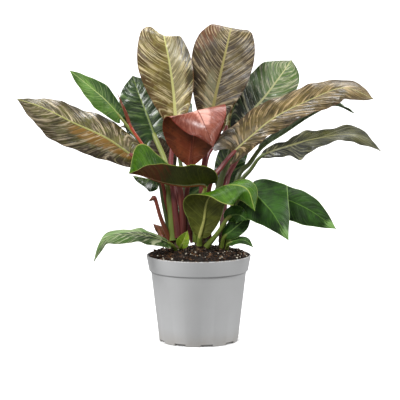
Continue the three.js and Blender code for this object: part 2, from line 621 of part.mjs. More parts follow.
// A tapering stalk whose foot clasps the crown and whose end faces the midrib
function stalkSolid(leaf, grow = 0) {
  const curve = leafCurve(leaf);
  const steps = 2 + 3 * leaf.path.length;
  const end = stalkShare(leaf);
  const rings = [];
  let across = new THREE.Vector3(1, 0, 0);
  for (let i = 0; i <= steps; i += 1) {
    const t = i / steps;
    const ahead = curve.getTangent(t * end);
    across = across.addScaledVector(ahead, -across.dot(ahead)).normalize();
    const other = ahead.clone().cross(across);
    const centre = curve.getPoint(t * end);
    if (i === steps) centre.addScaledVector(ahead, isStalkless(leaf) ? FUSED_SINK : -GAP);
    const sheath = 1 + SHEATH_FLARE * (1 - t) ** 4;
    const radius = THREE.MathUtils.lerp(leaf.stalk[0], leaf.stalk[1], t) * sheath + grow;
    const ring = [];
    for (let j = 0; j < STALK_SIDES; j += 1) {
      const angle = (2 * Math.PI * j) / STALK_SIDES;
      const point = centre.clone();
      point.addScaledVector(across, radius * Math.cos(angle));
      point.addScaledVector(other, radius * Math.sin(angle));
      ring.push(point);
    }
    rings.push(ring);
  }
  return toSolid(loftGeometry(rings));
}

function paint(name, geometry, color, roughness) {
  const material = new THREE.MeshStandardMaterial({ color, roughness, metalness: 0 });
  const mesh = new THREE.Mesh(geometry, material);
  mesh.name = name;
  return mesh;
}

const model = new THREE.Group();
const soilCutters = [];

for (const [place, crown] of Object.entries(CROWNS)) {
  model.add(paint(`crown_${place}`, crownGeometry(crown), 0x4a3b2a, 0.8));
  const around = [toSolid(crownGeometry(crown, GAP))];
  soilCutters.push(around[0]);
  for (const leaf of LEAVES.filter((one) => one.crown === place)) {
    const tone = TONES[leaf.tone];
    const clear = stalkSolid(leaf, GAP);
    let stalk = stalkSolid(leaf);
    for (const neighbour of around) {
      stalk = stalk.subtract(neighbour);
    }
    around.push(clear);
    soilCutters.push(clear);
    if (isStalkless(leaf)) {
      const whole = toSolid(bladeGeometry(leaf)).add(stalk);
      model.add(paint(`leaf_${leaf.name}`, fromSolid(whole), tone.blade, 0.35));
    } else {
      model.add(paint(`blade_${leaf.name}`, bladeGeometry(leaf), tone.blade, 0.35));
      model.add(paint(`stalk_${leaf.name}`, fromSolid(stalk), tone.stalk, 0.45));
    }
  }
}

model.add(paint('pot', potGeometry(), 0xa9a9ab, 0.55));
model.add(paint('soil', soilGeometry(soilCutters), 0x33231a, 0.95));

export default model;
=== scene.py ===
# %% [markdown]
# A potted imperial red philodendron
#
# The plant has broad glossy leaves on thick stalks. They stand round four short crowns in a grey nursery pot.
# The frame holds one solid for each piece, at its true size and place. A solid could simply be painted,
# but its facets would show, so every piece is built again here from the same sizes, only finer.
# Each new piece replaces its solid and rides on the same body.

# %% Load the frame
import math
import random

import bmesh
import bpy
import numpy as np
from mathutils import Matrix, Vector, noise


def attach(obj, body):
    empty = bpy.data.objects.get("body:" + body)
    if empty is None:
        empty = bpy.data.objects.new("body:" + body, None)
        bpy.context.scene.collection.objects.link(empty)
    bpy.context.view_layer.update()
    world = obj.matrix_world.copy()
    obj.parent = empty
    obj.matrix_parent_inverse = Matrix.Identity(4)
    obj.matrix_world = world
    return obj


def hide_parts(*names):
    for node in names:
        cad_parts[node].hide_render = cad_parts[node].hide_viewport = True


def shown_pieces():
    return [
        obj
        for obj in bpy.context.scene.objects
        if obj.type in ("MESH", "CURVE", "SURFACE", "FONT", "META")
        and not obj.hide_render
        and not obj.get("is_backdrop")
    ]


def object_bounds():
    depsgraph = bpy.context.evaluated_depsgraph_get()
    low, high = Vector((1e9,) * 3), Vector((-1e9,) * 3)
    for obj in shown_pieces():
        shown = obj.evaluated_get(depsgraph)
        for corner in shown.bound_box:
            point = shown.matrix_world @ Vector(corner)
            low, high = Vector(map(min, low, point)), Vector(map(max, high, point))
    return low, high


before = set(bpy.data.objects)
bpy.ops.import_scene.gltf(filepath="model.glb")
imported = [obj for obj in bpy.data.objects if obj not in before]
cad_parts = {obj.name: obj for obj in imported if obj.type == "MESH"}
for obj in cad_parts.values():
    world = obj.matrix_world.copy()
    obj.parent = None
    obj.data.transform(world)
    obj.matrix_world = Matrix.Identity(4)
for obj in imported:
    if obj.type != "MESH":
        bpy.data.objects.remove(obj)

solid_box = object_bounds()
print("solids:", len(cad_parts), "box:", [round(side, 3) for side in solid_box[1] - solid_box[0]])

# %% [markdown]
# Camera and light
#
# The picture was taken from a little above the rim of the pot, about three metres away, with a long lens.
# A camera that looks level would need a large shift to frame the plant. Tilting it down a few degrees gives
# the same framing with no shift at all.
# Four very soft suns, from the front, both sides and the back, and a pale sky act as a white tent, so glossy
# leaves get broad highlights and no side lies in the dark. Area lamps would do that too, but they leave a
# bright patch on the floor and a dark distance.

# %% Camera
CAMERA_DISTANCE = 3.0
CAMERA_ELEVATION = math.radians(11.0)
LOOK_DOWN = math.radians(6.63)
LENS = 164.6
SENSOR = 36.0
AIM_RIGHT = 0.0022
CAMERA_REACH = 500.0

camera_data = bpy.data.cameras.new("camera")
camera_data.lens = LENS
camera_data.sensor_width = SENSOR
camera_data.clip_end = CAMERA_REACH
camera = bpy.data.objects.new("camera", camera_data)
back_off = CAMERA_DISTANCE * math.cos(CAMERA_ELEVATION)
camera.location = (AIM_RIGHT, -back_off, CAMERA_DISTANCE * math.sin(CAMERA_ELEVATION))
camera.rotation_euler = (math.radians(90.0) - LOOK_DOWN, 0.0, 0.0)
bpy.context.collection.objects.link(camera)
bpy.context.scene.camera = camera
print("camera at", [round(place, 3) for place in camera.location])

# %% Light
SKY = 0.36
SUNS = {
    "sun_front": {"strength": 2.3, "angle": 16.0, "tilt": 54.0, "turn": -25.0},
    "sun_left": {"strength": 2.3, "angle": 26.0, "tilt": 58.0, "turn": -85.0},
    "sun_right": {"strength": 2.8, "angle": 26.0, "tilt": 60.0, "turn": 86.0},
    "sun_back": {"strength": 1.9, "angle": 30.0, "tilt": 28.0, "turn": 170.0},
}


def add_sun(name, strength, angle, tilt, turn):
    """A soft sun. Turn 0 stands behind the camera, 90 right of the plant, and tilt is from overhead."""
    light = bpy.data.lights.new(name, "SUN")
    light.energy = strength
    light.angle = math.radians(angle)
    lamp = bpy.data.objects.new(name, light)
    lamp.rotation_euler = (math.radians(tilt), 0.0, math.radians(turn))
    bpy.context.collection.objects.link(lamp)


for name, facts in SUNS.items():
    add_sun(name, **facts)
world = bpy.data.worlds.new("tent")
world.use_nodes = True
world.node_tree.nodes["Background"].inputs["Color"].default_value = (1.0, 1.0, 1.0, 1.0)
world.node_tree.nodes["Background"].inputs["Strength"].default_value = SKY
bpy.context.scene.world = world
bpy.context.scene.view_settings.view_transform = "Standard"
print("suns:", len(SUNS))

# %% [markdown]
# Helpers for materials
#
# Every finish here is a small network of nodes. Placing nodes one by one is long to read, so one helper
# places a node, sets it and feeds its sockets. What several finishes share goes into a node group.

# %% Node helpers
def colour(code):
    """The linear colour of a six digit colour code, with full opacity."""
    channels = [int(code[place:place + 2], 16) / 255 for place in (0, 2, 4)]
    linear = [c / 12.92 if c <= 0.04045 else ((c + 0.055) / 1.055) ** 2.4 for c in channels]
    return (*linear, 1.0)


def put(tree, kind, feeds=(), **settings):
    """A new node. Feeds are values or sockets for its inputs, in order or by name."""
    node = tree.nodes.new("ShaderNode" + kind)
    for key, value in settings.items():
        setattr(node, key, value)
    pairs = feeds.items() if isinstance(feeds, dict) else enumerate(feeds)
    for key, feed in pairs:
        if isinstance(feed, bpy.types.NodeSocket):
            tree.links.new(feed, node.inputs[key])
        elif feed is not None:
            node.inputs[key].default_value = feed
    return node


def calc(tree, operation, *values):
    return put(tree, "Math", values, operation=operation).outputs[0]


def times(tree, first, second):
    return calc(tree, "MULTIPLY", first, second)


def ramp(tree, value, low, high, start=0.0, end=1.0):
    """A smooth step of the value from low to high."""
    feeds = (value, low, high, start, end)
    return put(tree, "MapRange", feeds, interpolation_type="SMOOTHSTEP").outputs[0]


def tint(tree, share, first, second):
    """A mix of two colours."""
    node = put(tree, "Mix", {0: share, 6: first, 7: second}, data_type="RGBA")
    return node.outputs[2]


def speckle(tree, place, scale, detail=4.0, roughness=0.55, stretch=0.0):
    """Noise from 0 to 1 at a place, with its blobs about 1 / scale of a metre wide."""
    feeds = {"Vector": place, "Scale": scale, "Detail": detail, "Roughness": roughness, "Distortion": stretch}
    return put(tree, "TexNoise", feeds).outputs["Fac"]


print("middle grey as linear light:", [round(channel, 3) for channel in colour("808080")])

# %% Groups and materials
def group(name, inputs, outputs):
    """An empty node group. Inputs and outputs map a socket's name to its kind."""
    tree = bpy.data.node_groups.new(name, "ShaderNodeTree")
    for label, kind in inputs.items():
        tree.interface.new_socket(label, in_out="INPUT", socket_type="NodeSocket" + kind)
    for label, kind in outputs.items():
        tree.interface.new_socket(label, in_out="OUTPUT", socket_type="NodeSocket" + kind)
    return tree, tree.nodes.new("NodeGroupInput").outputs, tree.nodes.new("NodeGroupOutput").inputs


def use(tree, shared, **values):
    """A shared group placed in a material, with its own values. An underscore stands for a space."""
    node = tree.nodes.new("ShaderNodeGroup")
    node.node_tree = shared
    for label, value in values.items():
        socket = node.inputs[label.replace("_", " ")]
        if isinstance(value, bpy.types.NodeSocket):
            tree.links.new(value, socket)
        else:
            socket.default_value = value
    return node.outputs


def material(name, **constants):
    """A material with one Principled shader. Constants go on the shader's own sockets."""
    made = bpy.data.materials.new(name)
    made.use_nodes = True
    shader = made.node_tree.nodes["Principled BSDF"]
    for label, value in constants.items():
        shader.inputs[label.replace("_", " ")].default_value = value
    return made, made.node_tree, shader.inputs


def object_place(tree):
    return put(tree, "TexCoord").outputs["Object"]


def stretched(tree, place, *factors):
    """A place with each of its three directions scaled."""
    return put(tree, "VectorMath", [place, factors], operation="MULTIPLY").outputs[0]


def set_finish(tree, shader, base, rough, height, depth):
    """Colour and roughness go to the shader, and the height becomes a relief, its depth in metres."""
    tree.links.new(base, shader["Base Color"])
    tree.links.new(rough, shader["Roughness"])
    relief = put(tree, "Bump", {"Height": height, "Distance": depth, "Strength": 1.0})
    tree.links.new(relief.outputs["Normal"], shader["Normal"])


print("materials that came with the frame:", len(bpy.data.materials))

# %% [markdown]
# The floor
#
# The plant stands on a plain pale floor, like the paper sweep of a studio. A curved sweep would need its own
# shape for every camera. A flat sheet does for all of them, if it is so large that its far edge is never
# seen. It stays out of bounced and mirrored light, since so wide a sheet would wipe out the pot's shading.

# %% Floor
FLOOR_HALF = 140.0


def floor_material():
    """Matt pale paint with a breath of unevenness."""
    made, tree, shader = material("floor", Roughness=0.9)
    blotch = speckle(tree, object_place(tree), 3.0)
    tree.links.new(tint(tree, blotch, colour("f2f2f2"), colour("f8f8f8")), shader["Base Color"])
    return made


floor_mesh = bpy.data.meshes.new("floor")
floor_corners = [(-1, -1, 0), (1, -1, 0), (1, 1, 0), (-1, 1, 0)]
floor_points = [tuple(FLOOR_HALF * side for side in corner) for corner in floor_corners]
floor_mesh.from_pydata(floor_points, [], [(0, 1, 2, 3)])
floor_mesh.materials.append(floor_material())
floor = bpy.data.objects.new("floor", floor_mesh)
bpy.context.collection.objects.link(floor)
floor.visible_diffuse = False
floor.visible_glossy = False
floor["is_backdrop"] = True
print("floor:", 2 * FLOOR_HALF, "m wide")

# %% [markdown]
# Sizes
#
# These are the sizes that the solids were made from, in millimetres, and the formulas below repeat theirs.
# Reading the shapes back from the solids would give only their facets. With the same numbers, the fine
# pieces lie exactly where the solids do.

# %% Sizes of the pot, the soil and the crowns
POT_HEIGHT = 141
RIM_RADIUS = 85
BAND_HEIGHT = 27
BAND_FOOT_RADIUS = 81
WALL_TOP_RADIUS = 77.5
FOOT_RADIUS = 64.5
WALL = 1.8
FLOOR_RISE = 3
FLOOR = 2
HUB_RADIUS = 20
FOOT_RING_WIDTH = 9
SLOT_COUNT = 9
SLOT_LENGTH = 21.6
SLOT_WIDTH = 20
SLOT_HEIGHT = 4
FIRST_SLOT_TURN = -78
DRAIN_COUNT = 6
DRAIN_RADIUS = 4.5
DRAIN_CIRCLE = 38
SOIL_RISE = 1
SOIL_EDGE_DROP = 4
SOIL_HEAP = 7
SOIL_LUMP = 1.6
CROWN_RADIUS = 10
CROWN_TOP_RADIUS = 5
CROWN_DEPTH = 45
CROWNS = {
    "left": {"at": (-34, 2), "height": 40},
    "middle": {"at": (4, 0), "height": 38},
    "right": {"at": (40, 8), "height": 30},
    "back": {"at": (2, 42), "height": 36},
}
CLASP = 0.55
TIP_HALF_WIDTH = 0.7
TIP_SHARPNESS = 1.15
LOBE_START = 0.3
LOBE_FADE = 5
LOBE_BEND = 1.5
EVEN = ((1, 1), (1, 1))
NO_BUMP = (0, 0, 1, 0)
print("pot:", 2 * RIM_RADIUS, "mm across and", POT_HEIGHT, "mm high")

# %% [markdown]
# The leaves
#
# A leaf is placed by points on its stalk (path) and on its midrib (rib), from the crown to the tip. A mesh
# for each leaf could be modelled by hand, but a row of points and dials is shorter and easy to change.
# turn and lift say where the stalk clasps its crown, and stalk is its radius at the crown and at the blade.
# up lists the way the upper face looks, foot to tip, and half is the width of one half of the blade.
# shape is (width at the foot, how soon it widens, how late it narrows). lobe is how far the foot hangs back.
# fold lists the angles of the left and the right half to the flat, foot to tip. curl is how far they roll.
# wave is (height, count) of the ripples along the margin.
# lean lists the share of the width that the left and the right half keep, foot to tip.
# bump widens one half for a stretch: (0 for left or 1 for right, where, how long, by what share).

# %% The leaves, in the middle and on the left
LEAVES = [
    dict(name="tall_left", tone="bronze", crown="left", turn=275, lift=22, stalk=(5, 3.4),
         path=[(-40, -8, 235), (-45, 6, 292)],
         rib=[(-38, 18, 349), (-40, 24, 398), (-47, 30, 450), (-56, 46, 492), (-57, 88, 487)],
         up=[(0, -1, 0), (0, -1, 0.2), (0.35, -0.4, 1)],
         half=76, shape=(0.12, 1.9, 3.4), fold=((1, 37), (8, -3)), curl=(8, 8), wave=(1.5, 2.5), lobe=8,
         lean=((1.06, 1.16), (0.97, 0.3))),
    dict(name="tall_right", tone="darkBronze", crown="middle", turn=100, lift=20, stalk=(5, 3.4),
         path=[(4, 18, 230), (9, 22, 290)],
         rib=[(18, 24, 346), (26, 26, 391), (36, 30, 434), (46, 40, 477), (54, 60, 506), (60, 98, 493)],
         up=[(0, -1, 0), (0, -1, 0.2), (0, -0.4, 1)],
         half=78, shape=(0.14, 1.9, 2.8), fold=((6, 12), (-4, -4)), curl=(6, 6), wave=(1.5, 2.5), lobe=8,
         lean=((1, 1), (1.1, 0.95))),
    dict(name="new_red", tone="red", crown="left", turn=5, lift=26, stalk=(5, 3.2),
         path=[(-20, 0, 235)],
         rib=[(-14, -8, 286), (-10, -14, 332), (-4, -32, 377), (11, -56, 353), (23, -57, 321)],
         up=[(0, 1, 0), (0, 1, 0.3), (-0.12, -0.1, 1), (-0.1, -1, 0.5), (0, -1, 0.1)],
         half=70, shape=(0.08, 3, 2.75), fold=((4, 4), (-4, -9)), curl=(-6, -6), wave=(2, 2), lobe=0,
         lean=((1, 1.25), (0.92, 0.62))),
    dict(name="far_left", tone="bronze", crown="left", turn=320, lift=14, stalk=(5, 3.4),
         path=[(-27, -14, 225), (-35, -20, 263), (-62, -20, 283)],
         rib=[(-104, -12, 302), (-150, -16, 333), (-202, -22, 358), (-249, -28, 382), (-289, -34, 396)],
         up=[(0, -0.8, 0.6), (0, -0.8, 0.6)],
         half=54, shape=(0.5, 5, 3.2), fold=((-4, -14), (-4, -26)), curl=(-55, -14), wave=(3, 3), lobe=12,
         lean=((0.64, 1), (1.15, 1))),
    dict(name="upper_left", tone="green", crown="left", turn=145, lift=22, stalk=(3.2, 2.2),
         path=[(-64, 16, 268), (-86, 24, 310)],
         rib=[(-126, 25, 361), (-151, 15, 391), (-178, 10, 415), (-208, 2, 440)],
         up=[(0, -0.7, 0.7), (0, -0.7, 0.7)],
         half=27, shape=(0.4, 4, 3.2), fold=((4, 4), (4, 4)), curl=(-15, -15), wave=(1.5, 2), lobe=5),
    dict(name="behind_left", tone="dark", crown="left", turn=228, lift=17, stalk=(5, 3.8),
         path=[(-48, 0, 236), (-54, 20, 288)],
         rib=[(-70, 40, 326), (-86, 52, 368), (-100, 66, 402), (-109, 80, 428)],
         up=[(0, -0.9, 0.4), (0, -0.9, 0.4)],
         half=44, shape=(0.8, 4, 3.5), fold=((5, 10), (5, 10)), curl=(-10, -10), wave=(2, 2.5), lobe=32),
    dict(name="front_left", tone="bright", crown="middle", turn=205, lift=12, stalk=(3.8, 3),
         path=[(-4, -16, 215)],
         rib=[(10, -30, 255), (-25, -42, 258), (-62, -54, 266), (-90, -75, 278), (-109, -103, 284)],
         up=[(0, 0, 1), (0, 0, 1)],
         half=46, shape=(0.5, 5, 5), fold=((62, 75), (60, 75)), curl=(5, 10), wave=(2, 2), lobe=6,
         lean=((1.15, 0.4), (0.35, 1)), bump=(1, 0.8, 0.2, 0.9)),
    dict(name="under_left", tone="dark", crown="left", turn=185, lift=12, stalk=(3.4, 2.4),
         path=[(-57, -8, 224)],
         rib=[(-64, -16, 260), (-78, -24, 266), (-92, -32, 270), (-105, -38, 273)],
         up=[(0, -0.4, 0.9), (0, -0.4, 0.9)],
         half=26, shape=(0.35, 4, 3), fold=((-20, -20), (-20, -20)), curl=(-20, -20), wave=(1, 2), lobe=5),
    dict(name="low_left", tone="green", crown="left", turn=254, lift=2, stalk=(3, 3),
         path=[],
         rib=[(-46, -20, 161), (-79, -32, 175), (-113, -40, 179), (-151, -46, 170), (-168, -50, 136)],
         up=[(0, -0.4, 0.9), (0, -0.4, 0.9), (-0.9, -0.4, 0.4)],
         half=25, shape=(0.6, 4, 3.6), fold=((4, 4), (4, 4)), curl=(-20, -20), wave=(2, 3), lobe=0),
    dict(name="lime", tone="lime", crown="left", turn=290, lift=2, stalk=(2.4, 2.4),
         path=[],
         rib=[(-29, -19, 156), (-24, -25, 168), (-18, -28, 183)],
         up=[(0, -1, 0.2), (0, -1, 0.2)],
         half=13, shape=(0.3, 4, 3), fold=((15, 15), (15, 15)), curl=(10, 10), wave=(0.5, 1), lobe=0),
    dict(name="spear", tone="red", crown="left", turn=168, lift=18, stalk=(3, 2.2),
         path=[(-61, -1, 266), (-85, 1, 311)],
         rib=[(-108, 3, 346), (-119, 4, 374), (-131, 6, 402)],
         up=[(0, -1, 0.3), (0, -1, 0.3)],
         half=5, shape=(0.5, 4, 2), fold=((40, 40), (40, 40)), curl=(20, 20), wave=(0, 1), lobe=0),
    dict(name="dry_stub", tone="dry", crown="left", turn=195, lift=13, stalk=(4, 3),
         path=[(-60, -16, 200)],
         rib=[(-69, -22, 232), (-73, -25, 237), (-80, -27, 232)],
         up=[(0, -0.8, 0.6), (0, -0.6, 0.8)],
         half=7, shape=(0.5, 4, 3), fold=((-10, -15), (-30, -20)), curl=(-30, -30), wave=(1.5, 2), lobe=0),
    dict(name="old_sheath", tone="dry", crown="left", turn=195, lift=2, stalk=(3, 3),
         path=[],
         rib=[(-56, 4, 162), (-64, 7, 182), (-74, 9, 190)],
         up=[(-0.4, -0.8, 0.6), (0, -0.8, 0.6)],
         half=11, shape=(0.6, 4, 3), fold=((-30, -30), (-30, -30)), curl=(-30, -30), wave=(1.5, 2), lobe=0),
]

# %% The leaves, on the right and at the back
LEAVES += [
    dict(name="upper_right", tone="green", crown="back", turn=15, lift=18, stalk=(5.4, 3.8),
         path=[(31, 44, 240), (51, 46, 300)],
         rib=[(67, 50, 341), (90, 60, 372), (113, 72, 398), (137, 88, 429), (155, 110, 452)],
         up=[(-0.1, -0.9, 0.4), (-0.1, -0.9, 0.4)],
         half=48, shape=(0.3, 3, 5), fold=((8, 12), (8, 6)), curl=(6, 10), wave=(2.5, 3), lobe=8),
    dict(name="far_right", tone="bronze", crown="middle", turn=350, lift=18, stalk=(5.4, 3),
         path=[(16, -10, 250), (38, -8, 286)],
         rib=[(56, -4, 307), (86, 2, 334), (124, 8, 364), (178, 10, 391), (234, 10, 411), (282, 2, 394)],
         up=[(-0.2, -0.9, 0.4), (-0.3, -0.8, 0.7), (-0.2, -0.4, 0.9)],
         half=42, shape=(0.88, 5, 9), fold=((-2, -6), (6, -6)), curl=(-25, -30), wave=(3, 3.5), lobe=18,
         lean=((1.2, 0.36), (0.75, 0.75))),
    dict(name="edge_right", tone="dark", crown="right", turn=20, lift=14, stalk=(5, 3.6),
         path=[(62, 17, 260), (83, 24, 288)],
         rib=[(105, 30, 316), (141, 34, 339), (183, 36, 366), (221, 36, 382), (254, 33, 369)],
         up=[(-0.3, 0.1, 1), (-0.3, 0.1, 1)],
         half=31, shape=(0.35, 3.5, 3.2), fold=((14, 14), (14, 14)), curl=(10, 10), wave=(2, 3), lobe=8),
    dict(name="low_far_right", tone="dark", crown="right", turn=345, lift=8, stalk=(4.8, 2.7),
         path=[(62, 2, 246), (85, 0, 281)],
         rib=[(103, -6, 303), (144, -12, 319), (187, -18, 331), (245, -27, 338), (291, -34, 313)],
         up=[(-0.2, -0.3, 1), (0, -0.5, 0.9)],
         half=23, shape=(0.25, 3.5, 9), fold=((20, -40), (0, 10)), curl=(10, -20), wave=(3, 3), lobe=2,
         lean=((1, 1), (0.92, 0.6)), bump=(1, 0.34, 0.08, 1.15)),
    dict(name="low_right", tone="green", crown="right", turn=60, lift=4, stalk=(3.8, 2.6),
         path=[(62, 24, 205), (84, 26, 230)],
         rib=[(108, 24, 236), (144, 20, 228), (182, 14, 211), (224, 6, 182)],
         up=[(0.1, -0.8, 0.6), (0.1, -0.8, 0.6)],
         half=35, shape=(0.45, 5, 4.2), fold=((-5, -5), (-5, -5)), curl=(-15, -10), wave=(1.5, 2), lobe=8),
    dict(name="front_right", tone="green", crown="right", turn=315, lift=10, stalk=(4, 3),
         path=[(58, -6, 206), (68, -14, 238)],
         rib=[(80, -28, 254), (98, -46, 237), (119, -58, 214), (143, -68, 173)],
         up=[(0.3, -0.7, 0.6), (0.4, -0.9, 0.3)],
         half=56, shape=(0.6, 5, 2.6), fold=((4, -42), (0, -38)), curl=(-10, -15), wave=(1.5, 2), lobe=7,
         lean=((0.9, 0.8), (1, 0.8)), bump=(0, 0.33, 0.2, 0.3)),
    dict(name="front_bright", tone="bright", crown="middle", turn=255, lift=8, stalk=(4.2, 3.8),
         path=[],
         rib=[(2, -16, 171), (9, -23, 201), (15, -33, 238), (42, -50, 259), (76, -68, 256), (89, -80, 222)],
         up=[(0.1, 1, 0.2), (0, 0.8, 0.5), (-0.2, 0.2, 1), (-0.1, -0.5, 0.9), (0.1, -0.8, 0.6)],
         half=44, shape=(0.2, 3, 4.2), fold=((-6, 28), (-10, -42)), curl=(5, -10), wave=(1.5, 2), lobe=0,
         lean=((1, 1.1), (0.7, 1.2))),
    dict(name="low_small", tone="green", crown="right", turn=300, lift=2, stalk=(2.6, 2.6),
         path=[],
         rib=[(48, -14, 160), (62, -22, 167), (76, -28, 167), (88, -32, 157)],
         up=[(0, -0.5, 0.9), (0, -0.5, 0.9)],
         half=13, shape=(0.35, 4, 3), fold=((5, 5), (5, 5)), curl=(-10, -10), wave=(0.5, 1), lobe=0),
    dict(name="shaded_right", tone="green", crown="middle", turn=318, lift=4, stalk=(4.2, 3),
         path=[(32, -18, 180)],
         rib=[(46, -28, 203), (57, -39, 211), (68, -45, 210), (77, -47, 203)],
         up=[(0, -1, 0.1), (0, -0.8, 0.5)],
         half=18, shape=(0.4, 4, 2.8), fold=((0, -10), (0, -10)), curl=(0, -10), wave=(1, 2), lobe=3),
    dict(name="middle_right", tone="green", crown="right", turn=255, lift=6, stalk=(3, 3),
         path=[],
         rib=[(41, -11, 170), (55, -19, 184), (71, -22, 198), (85, -24, 211)],
         up=[(0.1, -0.9, 0.5), (0.1, -0.9, 0.5)],
         half=20, shape=(0.25, 3, 3.2), fold=((5, 5), (5, 5)), curl=(-10, -10), wave=(1, 2), lobe=0),
    dict(name="back_tall_left", tone="dark", crown="back", turn=140, lift=16, stalk=(4.2, 3),
         path=[(-25, 66, 255)],
         rib=[(-38, 85, 330), (-45, 110, 376), (-52, 142, 405), (-58, 180, 402)],
         up=[(0, -0.6, 0.8), (0, 0, 1), (0, 0.6, 0.9)],
         half=44, shape=(0.4, 4, 3.4), fold=((-6, -6), (-6, -6)), curl=(-20, -20), wave=(2, 3), lobe=8),
    dict(name="back_tall_right", tone="bronze", crown="back", turn=60, lift=22, stalk=(4.2, 3),
         path=[(9, 64, 240), (15, 76, 295)],
         rib=[(44, 90, 335), (52, 112, 380), (60, 144, 404), (66, 184, 394)],
         up=[(0, -0.6, 0.8), (0, 0, 1), (0, 0.6, 0.9)],
         half=44, shape=(0.4, 4, 3.4), fold=((-6, -6), (-6, -6)), curl=(-20, -20), wave=(2, 3), lobe=8),
    dict(name="back_middle", tone="dark", crown="back", turn=105, lift=4, stalk=(4, 2.8),
         path=[(-13, 72, 172)],
         rib=[(-16, 82, 198), (-19, 94, 226), (-24, 112, 254), (-32, 144, 268), (-38, 178, 260)],
         up=[(0, -1, 0.2), (0, -0.8, 0.6), (0, 0.1, 1)],
         half=44, shape=(0.4, 4, 3), fold=((-5, -5), (-5, -5)), curl=(-20, -20), wave=(2, 2.5), lobe=8),
    dict(name="back_low", tone="dark", crown="back", turn=20, lift=4, stalk=(3.6, 2.6),
         path=[(27, 61, 205)],
         rib=[(41, 70, 246), (49, 78, 273), (59, 92, 300), (76, 122, 317), (94, 152, 310)],
         up=[(0, -1, 0.2), (0, -1, 0.3), (0, -0.3, 1)],
         half=30, shape=(0.4, 4, 2.8), fold=((-5, -5), (-5, -5)), curl=(-15, -15), wave=(1.5, 2), lobe=8),
    dict(name="back_left", tone="darkBronze", crown="back", turn=180, lift=8, stalk=(4, 2.8),
         path=[(-36, 58, 232)],
         rib=[(-52, 68, 276), (-61, 79, 304), (-78, 100, 330), (-108, 130, 345), (-142, 156, 334)],
         up=[(0, -1, 0.2), (0, -0.9, 0.4), (0, -0.2, 1)],
         half=32, shape=(0.4, 4, 3), fold=((-5, -5), (-5, -5)), curl=(-20, -20), wave=(2, 2.5), lobe=8),
    dict(name="back_right", tone="bronze", crown="right", turn=100, lift=12, stalk=(5, 3.6),
         path=[(45, 46, 250), (60, 60, 285)],
         rib=[(92, 82, 335), (125, 106, 365), (155, 130, 380), (190, 152, 374)],
         up=[(0, -0.2, 1), (0.2, 0.2, 1)],
         half=38, shape=(0.4, 4, 3), fold=((-5, -5), (-5, -5)), curl=(-20, -20), wave=(2, 2.5), lobe=8),
]
print("leaves:", len(LEAVES))

# %% [markdown]
# One curve for stalk and midrib
#
# On the plant the midrib is the stalk running on through the blade, so both lie on one smooth curve.
# A Bezier object would need handles for every point. A Catmull-Rom curve passes through the points alone,
# and a few lines of arithmetic give its places and directions for a whole row of shares at once.

# %% Curves
LENGTH_SAMPLES = 60


def unit(vectors):
    return vectors / np.linalg.norm(vectors, axis=-1, keepdims=True)


def smooth_curve(points, share):
    """Places and directions on the curve through the points, at shares of it from 0 to 1."""
    line = np.array(points, float)
    line = np.vstack([2 * line[0] - line[1], line, 2 * line[-1] - line[-2]])
    spans = len(points) - 1
    along = np.clip(share, 0, 1) * spans
    first = np.minimum(along.astype(int), spans - 1)
    w = (along - first)[..., None]
    before, start, end, after = (line[first + step] for step in range(4))
    leave, arrive = (end - before) / 2, (after - start) / 2
    place = (2 * w**3 - 3 * w**2 + 1) * start + (w**3 - 2 * w**2 + w) * leave
    place += (3 * w**2 - 2 * w**3) * end + (w**3 - w**2) * arrive
    ahead = (6 * w**2 - 6 * w) * (start - end) + (3 * w**2 - 4 * w + 1) * leave + (3 * w**2 - 2 * w) * arrive
    return place, unit(ahead)


def soil_height(x, y):
    """The heap of soil, with the broad lumps that its solid has too."""
    reach = np.hypot(x, y) / WALL_TOP_RADIUS
    heap = SOIL_HEAP * np.maximum(0, 1 - reach * reach)
    lumps = np.sin(x * 0.31 + 1.3) * np.cos(y * 0.27) + 0.6 * np.sin(x * 0.13 - y * 0.47)
    return POT_HEIGHT + SOIL_RISE + heap + SOIL_LUMP * lumps


def crown_radius(share):
    """A crown tapers towards its top."""
    return CROWN_RADIUS + (CROWN_TOP_RADIUS - CROWN_RADIUS) * share**3


def stalk_root(leaf):
    """Where a stalk leaves its crown, partly sunk into it."""
    crown = CROWNS[leaf["crown"]]
    x, y = crown["at"]
    share = (CROWN_DEPTH + leaf["lift"]) / (CROWN_DEPTH + crown["height"])
    reach = crown_radius(share) + leaf["stalk"][0] * CLASP
    turn = math.radians(leaf["turn"])
    return (x + reach * math.cos(turn), y + reach * math.sin(turn), soil_height(x, y) + leaf["lift"])


def leaf_curve(leaf, share):
    """The one curve of stalk and midrib."""
    return smooth_curve([stalk_root(leaf), *leaf["path"], *leaf["rib"]], share)


def stalk_share(leaf):
    """The share of a leaf's curve at which its blade begins."""
    return (len(leaf["path"]) + 1) / (len(leaf["path"]) + len(leaf["rib"]))


def curve_length(leaf, low, high):
    """Millimetres of a leaf's curve between two shares of it."""
    places = leaf_curve(leaf, np.linspace(low, high, LENGTH_SAMPLES))[0]
    return float(np.linalg.norm(np.diff(places, axis=0), axis=1).sum())


print("longest blade:", round(max(curve_length(leaf, stalk_share(leaf), 1) for leaf in LEAVES)), "mm")

# %% [markdown]
# The blade
#
# A blade is a thin sheet with a stout round midrib that stands out below. Side veins leave the midrib in
# pairs and arch to the margin, and the skin swells a little between them, which breaks the shine into bands.
# Sculpting thirty leaves by hand would take days and a bump map would leave the outline flat, so the sheet
# is a formula of two numbers: t runs from foot to tip and s from the left margin to the right.

